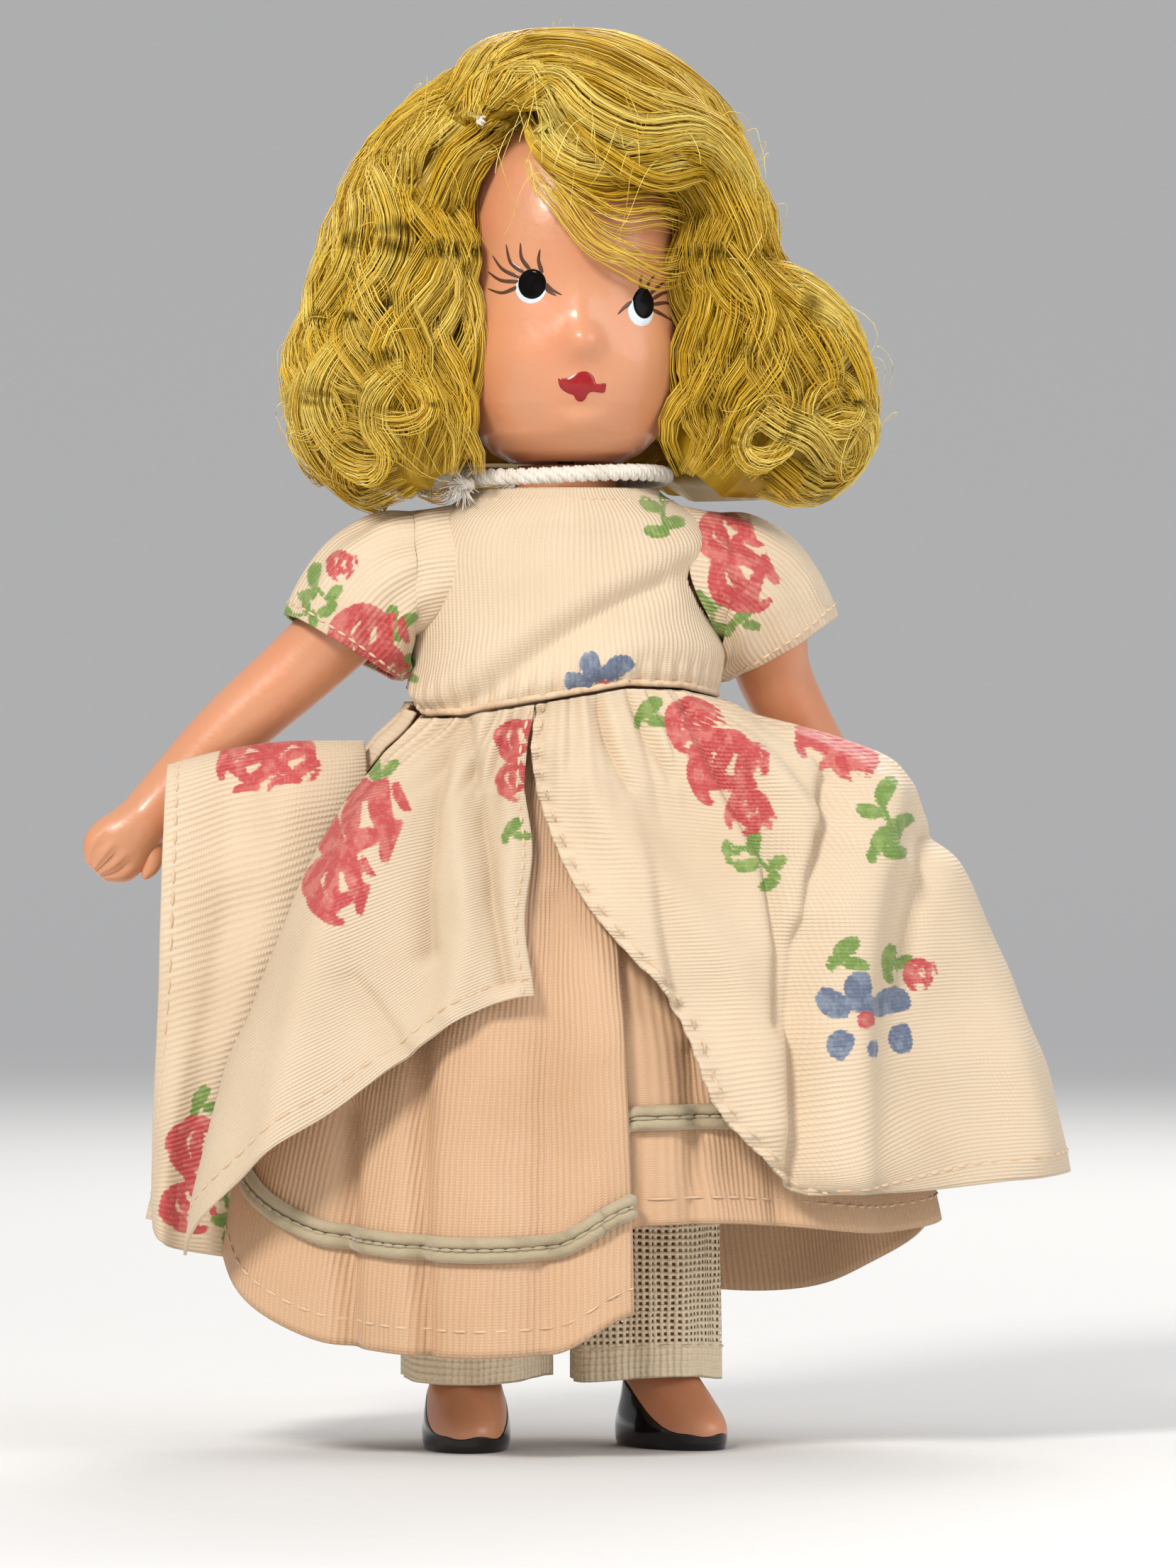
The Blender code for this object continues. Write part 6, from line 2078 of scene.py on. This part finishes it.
@dataclass
class Limbs:
    """The arms with mitten hands, the legs with painted slippers, and the neck."""

    finishes: Finishes

    def build(self) -> None:
        """Makes the limbs and what shows of the body."""
        rings = []
        top, height = TORSO[0][0], TORSO[0][0] - TORSO[-1][0]
        for row in range(60):
            z = top - height * row / 59
            wide, deep, middle = at_height(TORSO, z)
            rings.append([Vector((wide * math.sin(t), middle - deep * math.cos(t), z)) for t in circle(64)])
        place_piece(loft("torso_shell", rings, self.finishes.skin), Body.TORSO, "bisque", "torso")
        for side in Side:
            self.arm(side)
            self.leg(side)

    def arm(self, side: Side) -> None:
        """One arm and its hand, with creases between the fingers and a small thumb."""
        path = [Vector((side.value * x, y, z)) for x, y, z in ARMS[side]]
        rings, sides = [], 40
        for step in range(46):
            share = step / 45
            before, after = max(share - 0.01, 0), min(share + 0.01, 1)
            ahead = Vector(spline(path, after)) - Vector(spline(path, before))
            if step == 0:
                ahead = Vector((side.value, 0, 0))
            radius = spline([(r,) for r in ARM_RADII], share)[0]
            rings.append(self.ring(Vector(spline(path, share)), ahead, radius, radius, sides))
        along = (path[-1] - path[-2]).normalized()
        for step in range(1, MITTEN_RINGS):
            t = step / (MITTEN_RINGS - 1)
            distance, width, depth = spline(HAND, t)
            crease = 0.42 * smooth_step(0.45, 0.7, t)
            rings.append(self.ring(path[-1] + along * distance, along, width, depth, sides, crease))
        name = f"arm_{side.word}"
        arm = loft(f"{name}_moulding", rings, self.finishes.skin)
        first = along.cross(Vector((0, 1, 0))).normalized() * -side.value
        root = path[-1] + along * 1.0 + first * 2.2
        tip = path[-1] + along * 4.2 + first * 3.9 + Vector((0, -0.9, 0))
        line = [spline((root, (root + tip) / 2 + first * 0.5, tip), k / 9) for k in range(10)]
        radii = 1.15 * np.sin(np.linspace(1.2, 2.95, 10))
        thumb = tubes("thumb", [np.array(line)], [radii], self.finishes.skin, 14)
        place_piece(join([arm, thumb], f"{name}_moulding"), Body[f"ARM_{side.name}"], "bisque", name)

    @staticmethod
    def ring(
        centre: Vector, ahead: Vector, width: float, depth: float, sides: int, crease: float = 0.0
    ) -> list[Vector]:
        """An oval ring across a direction; the crease parts the fingers."""
        first = ahead.cross(Vector((0, 1, 0))).normalized()
        second = ahead.cross(first).normalized()
        ring = []
        for turn in circle(sides):
            wide = math.cos(turn)
            groove = sum(bump_at(wide, at, 0.16) for at in (-0.5, 0.0, 0.5))
            deep = math.sin(turn) * (1 - crease * groove * abs(math.sin(turn)))
            ring.append(centre + first * width * wide + second * depth * deep)
        return ring

    @staticmethod
    def leg_centre(side: Side, z: float) -> float:
        """x of a leg's middle at a height."""
        return side.value * (HIP_X + (FOOT_OUT[side] - HIP_X) * smooth_step(HIP_Z, 8.0, z))

    def leg_level(self, side: Side, z: float, grow: float = 0.0, sides: int = 48) -> list[Vector]:
        """The ring of a leg or foot at a height."""
        table = [(z_, 0.0, r * 0.94, r) for z_, r in LEG] + list(FOOT)
        for index in range(len(table) - 1):
            if z >= table[index + 1][0] or index == len(table) - 2:
                t = (table[index][0] - z) / (table[index][0] - table[index + 1][0])
                row = spline(table, (index + min(max(t, 0.0), 1.0)) / (len(table) - 1))
                break
        out = math.radians(side.value * FOOT_TURN[side] * smooth_step(12.0, 8.5, z))
        ahead = Vector((math.sin(out), -math.cos(out), 0))
        across = Vector((math.cos(out), math.sin(out), 0))
        middle = Vector((self.leg_centre(side, z), 0, z)) - ahead * row[1]
        wide, deep = row[2] + grow, row[3] + grow
        return [middle + across * wide * math.sin(t) + ahead * deep * math.cos(t) for t in circle(sides)]

    def leg(self, side: Side) -> None:
        """One leg with its flat hip and its foot, and the paint of its slipper."""
        name = f"leg_{side.word}"
        rings = []
        for step in range(16):
            share = 0.96 - 1.59 * step / 15
            deep = HIP_RADIUS * math.sqrt(1 - share**2)
            wide = 3.2 if share < 0.9 else 2.6
            x, z = side.value * HIP_X, HIP_Z + HIP_RADIUS * share
            rings.append([Vector((x + wide * math.sin(t), -deep * math.cos(t), z)) for t in circle(48)])
        heights = [50 - 40 * k / 30 for k in range(31)] + [10 - 10 * ((k + 1) / 30) for k in range(30)]
        rings += [self.leg_level(side, z) for z in heights]
        leg = loft(f"{name}_moulding", rings, self.finishes.skin)
        place_piece(leg, Body[f"LEG_{side.name}"], "bisque", name)
        self.slipper(side)

    def slipper(self, side: Side) -> None:
        """Thick black paint over the sole and up round the heel, cut low over the toes."""
        columns, rows = 96, 26
        points: list[Vector] = []
        for j in range(rows + 1):
            for i in range(columns):
                angle = 360 * i / columns - 180
                top = 1.55 + 5.3 * smooth_step(38, 118, abs(angle))
                top += 0.15 * math.sin(math.radians(7 * angle))
                z = top * (1 - j / rows)
                grow = 0.13 * smooth_step(0, 1.5, j) - 0.06
                ring = self.leg_level(side, z, grow, columns)
                points.append(ring[(i + columns // 2) % columns])
        faces = ring_faces(0, columns, rows, turned=True)
        faces.append(tuple(rows * columns + i for i in reversed(range(columns))))
        paint = raw_mesh(f"slipper_{side.word}_paint", points, faces, self.finishes.slipper)
        place_piece(paint, Body[f"LEG_{side.name}"], "bisque")


@dataclass
class Bodice:
    """The bodice, its short sleeves, and the stitches of its neck."""

    finishes: Finishes

    def panel(self, name: str, first: float, last: float, overlap: float = 0.0) -> None:
        """One panel between two angles, with its armholes; it may lap over its neighbour's edge."""
        top, waist = BODICE[0][0], BODICE[-1][0]

        def surface(u: float, v: float) -> Vector:
            angle = first + (last - first) * u
            z = top + (waist - top) * v
            point = around(BODICE, angle, z, overlap * smooth_step(171, 178, angle))
            strain = 0.3 * wrinkle(point, 8.0, 9.9) + folds(point, BODICE_FOLDS, 95.0) + 0.25
            tuck = 0.28 * math.sin(angle * 0.75) * smooth_step(0.8, 1.0, v)
            out = strain * smooth_step(0, 0.1, v) * smooth_step(1.0, 0.93, v) + tuck
            point.z += waist_tilt(point) * smooth_step(0.35, 1.0, v)
            return point + away(point, 1.6) * out

        columns, cloth = max(60, round((last - first) * 0.95)), self.finishes.faille
        flowers = BODICE_FLOWERS if name == "bodice_front" else ()
        ink = Print(flowers, 3, bare=lambda grid: grid[:, 1] > 2)
        sheet = Cloth(
            f"{name}_cloth", surface, columns, 74, DRESS_THICKNESS, cloth, ink=ink, hole=self.armhole
        )
        piece = sheet.build()
        place_piece(piece, Body.TORSO, "faille", name)
        sheet.declare()

    @staticmethod
    def armhole(point: Vector) -> bool:
        """True inside an armhole."""
        return abs(point.x) > 9.5 and math.hypot(point.y, point.z - SHOULDER_Z) < 6.1

    def build(self) -> None:
        """Makes the bodice and the sleeves."""
        self.panel("bodice_front", -89.4, 89.4)
        self.panel("bodice_back_left", 90.2, 185.0, 0.7)
        self.panel("bodice_back_right", 181.0, 269.8)
        thread = self.finishes.seam
        neck = stitches("neck_stitches", lambda t: around(BODICE, 360 * t, 94.5, 0.3), 64, thread, 0.16)
        place_piece(neck, Body.TORSO, "faille")
        steps = 240
        seam = []
        for i in range(steps + 1):
            point = around(BODICE, 360 * i / steps, 75.1, 0.15 + 0.1 * math.sin(i * 1.9))
            seam.append((point.x, point.y, point.z + waist_tilt(point)))
        piece = tubes("waist_seam", [np.array(seam)], [np.full(steps + 1, 0.38)], thread, 10)
        place_piece(piece, Body.TORSO, "faille")
        for side in Side:
            self.sleeve(side)

    def sleeve(self, side: Side) -> None:
        """A puffed sleeve from the armhole to its hem round the upper arm."""
        deeper = 0.2 if side is Side.RIGHT else 2.2
        band = 0.16
        # Rows from the shoulder down: middle's x, y and z, half-height, half-depth, lean in degrees
        rings = (
            (15.7, 0.0, 86.6, 6.6, 5.6, 0.0), (18.2, 0.4, 85.2, 6.8, 5.9, 18.0),
            (20.2, 1.0, 83.0, 6.9, 6.0, 38.0), (22.4, 1.8, 79.9, 6.4, 6.0, 60.0),
        )

        def surface(u: float, v: float) -> Vector:
            turn = 2 * math.pi * u
            share = max(0.0, (v - band) / (1 - band))
            x, y, z, high, deep, lean = spline(rings, share)
            puff = 1 + 0.10 * math.sin(math.pi * share)
            puff += 0.045 * math.sin(9 * turn + 2.5 * v) * (1 - 0.5 * share)
            out = high * puff * math.cos(turn)
            lean = math.radians(lean)
            y += deeper * share
            y += deep * puff * math.sin(turn)
            point = Vector((x + out * math.sin(lean), y, z + out * math.cos(lean)))
            point.x = max(point.x, 15.6 + 0.35 * wrinkle(point, 3.0, 2.0))
            if v < band:
                edge_y, edge_z = 6.3 * math.sin(turn), SHOULDER_Z + 6.4 * math.cos(turn)
                half_width, half_depth, _ = at_height(BODICE, edge_z)
                edge_x = half_width * math.sqrt(max(0.0, 1 - (edge_y / half_depth) ** 2)) + 0.25
                edge = Vector((edge_x, edge_y, edge_z))
                t = smooth_step(0, band, v)
                point = edge * (1 - t) + point * t + Vector((0.8, 0, 0)) * math.sin(math.pi * t)
            point += Vector((0, point.y, point.z - 84)).normalized() * 0.3 * wrinkle(point, 4.0, 6.0)
            return Vector((point.x * side.value, point.y, point.z))

        ink = Print(SLEEVE_FLOWERS[side], 61, bare=lambda grid: grid[:, 1] > 2)
        name, cloth = f"sleeve_{side.word}", self.finishes.faille
        sheet = Cloth(f"{name}_cloth", surface, 150, 74, DRESS_THICKNESS, cloth, closed=True, ink=ink)
        piece = sheet.build()
        arm = Body[f"ARM_{side.name}"]
        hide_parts(name)
        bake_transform(piece)
        row = stitches(
            f"{name}_stitches", lambda t: self.out_of(surface(t, 0.93), side), 34, self.finishes.seam, 0.15
        )
        place_piece(row, arm, "faille")
        sheet.declare()

    @staticmethod
    def out_of(point: Vector, side: Side) -> Vector:
        """A point moved out from the sleeve's middle."""
        offset = point - Vector((side.value * 21.5, 2.0, 81.5))
        return point + offset.normalized() * 0.22


@dataclass
class Pantaloons:
    """Gauze pantaloons: the seat, and a leg round each leg with a doubled hem."""

    finishes: Finishes

    def build(self) -> None:
        """Makes the pantaloons."""

        top, low = 74.4, 63.4

        def seat(u: float, v: float) -> Vector:
            z = top + (low - top) * v
            out = 0.9 + 0.7 * smooth_step(70, 64, z) + 0.12 * math.sin(60 * u)
            return around(TORSO, 360 * u, z, out)

        cloth = self.finishes.plain_gauze
        sheet = Cloth("pantaloon_seat_cloth", seat, 120, 24, GAUZE_THICKNESS, cloth, closed=True)
        piece = sheet.build()
        place_piece(piece, Body.TORSO, "gauze", "pantaloon_seat")
        sheet.declare()
        for side in Side:
            self.trouser(side)

    def trouser(self, side: Side) -> None:
        """One leg, which hangs nearly straight and ripples a little."""
        top, low = 53.0, 6.8
        outwards = 0.0 if side is Side.LEFT else -1.3

        def surface(u: float, v: float) -> Vector:
            z = top + (low - top) * v
            turn = 2 * math.pi * u
            width = 6.4 + 0.9 * smooth_step(top, 20, z)
            depth = 6.2 + 0.3 * smooth_step(top, 20, z)
            ripple = 0.35 * math.sin(5 * turn) * smooth_step(50, 15, z)
            ripple += 0.12 * math.sin(13 * turn + z * 0.2)
            centre = side.value * 7.9 + outwards * smooth_step(top, 12, z)
            sag = 0.35 * math.sin(2 * turn + side.value) * smooth_step(0.8, 1.0, v)
            x = centre + (width + ripple) * math.sin(turn)
            return Vector((x, -(depth + ripple) * math.cos(turn), z + sag))

        name = f"pantaloon_leg_{side.word}"
        sheet = Cloth(f"{name}_cloth", surface, 120, 90, GAUZE_THICKNESS, self.finishes.gauze, closed=True)
        piece = sheet.build()
        leg = Body[f"LEG_{side.name}"]
        place_piece(piece, leg, "gauze", name)
        middle = Vector((side.value * 8.2, 0, 0))

        def hem(t: float) -> Vector:
            point = surface(t, 0.93)
            return point + away(point - middle) * 0.2

        row = stitches(f"{name}_stitches", hem, 20, self.finishes.plain_gauze, 0.16, 0.6)
        place_piece(row, leg, "gauze")
        sheet.declare()


@dataclass
class Trimmings:
    """The cord round the neck with its frayed knot, and the CAD pieces that keep their shape."""

    finishes: Finishes

    def build(self) -> None:
        """Makes the cord and gives the kept nodes their materials."""
        steps = 160
        loop = []
        for i in range(steps + 1):
            turn = 2 * math.pi * i / steps - 2.0
            loop.append((10.0 * math.sin(turn), -7.6 * math.cos(turn), 97.0 + 0.25 * math.sin(2 * turn)))
        plies = []
        for ply in twisted(np.array(loop), 0.42, 3.4, 3, 420):
            plies += twisted(ply, 0.27, 1.5, 4, 700)
        radii = [np.full(len(ply), 0.21) for ply in plies]
        cord = tubes("neck_cord_plies", plies, radii, self.finishes.cord, 5)
        place_piece(cord, Body.TORSO, "white_thread", "neck_cord")
        self.knot()
        wire, elastic = self.finishes.wire, self.finishes.elastic
        kept = {"waist_thread": self.finishes.black, "safety_pin": wire, "head_crossbar": wire}
        kept |= {f"{limb}_hook_{side.word}": wire for limb in ("arm", "leg") for side in Side}
        kept |= {f"{part}_elastic": elastic for part in ("arm", "leg", "head")}
        for name, material in kept.items():
            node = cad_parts[name]
            node.material_slots[0].link = "OBJECT"
            node.material_slots[0].material = material

    def knot(self) -> None:
        """The cord's knot and its frayed end."""
        rng = random.Random(5)
        middle = Vector((-10.9, -4.4, 96.0))
        turns = np.linspace(0, 4 * math.pi, 90)
        wrap = [0.75 * np.sin(turns), 0.75 * np.cos(turns), 0.5 * np.cos(turns * 0.5 + 0.4)]
        paths = list(twisted(np.stack(wrap, axis=1) + np.array(middle), 0.2, 1.3, 4, 260))
        radii = [np.full(260, 0.2)] * 4
        for _ in range(70):
            way = Vector([rng.uniform(*ends) for ends in ((-0.9, 0.3), (-1.0, 0.1), (-0.9, 0.5))])
            way.normalize()
            bend = Vector((rng.uniform(-0.5, 0.5), rng.uniform(-0.5, 0.5), -0.5))
            reach = rng.uniform(1.2, 2.6)
            line = [middle + way * reach * t + bend * 0.7 * t * t for t in np.linspace(0, 1, 7)]
            paths.append(np.array([tuple(p) for p in line]))
            radii.append(np.linspace(0.09, 0.04, 7))
        piece = tubes("neck_cord_fray", paths, radii, self.finishes.cord, 5)
        place_piece(piece, Body.TORSO, "white_thread", "neck_cord_knot")


def main() -> None:
    """Builds the doll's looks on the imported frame."""
    logging.basicConfig(level=logging.INFO)
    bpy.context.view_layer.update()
    Studio().build()
    finishes = Finishes()
    head = Head(finishes)
    head.build()
    Wig(finishes, head).build()
    Limbs(finishes).build()
    Skirts(finishes).build()
    Pantaloons(finishes).build()
    Bodice(finishes).build()
    Trimmings(finishes).build()


if __name__ == "__main__":
    main()
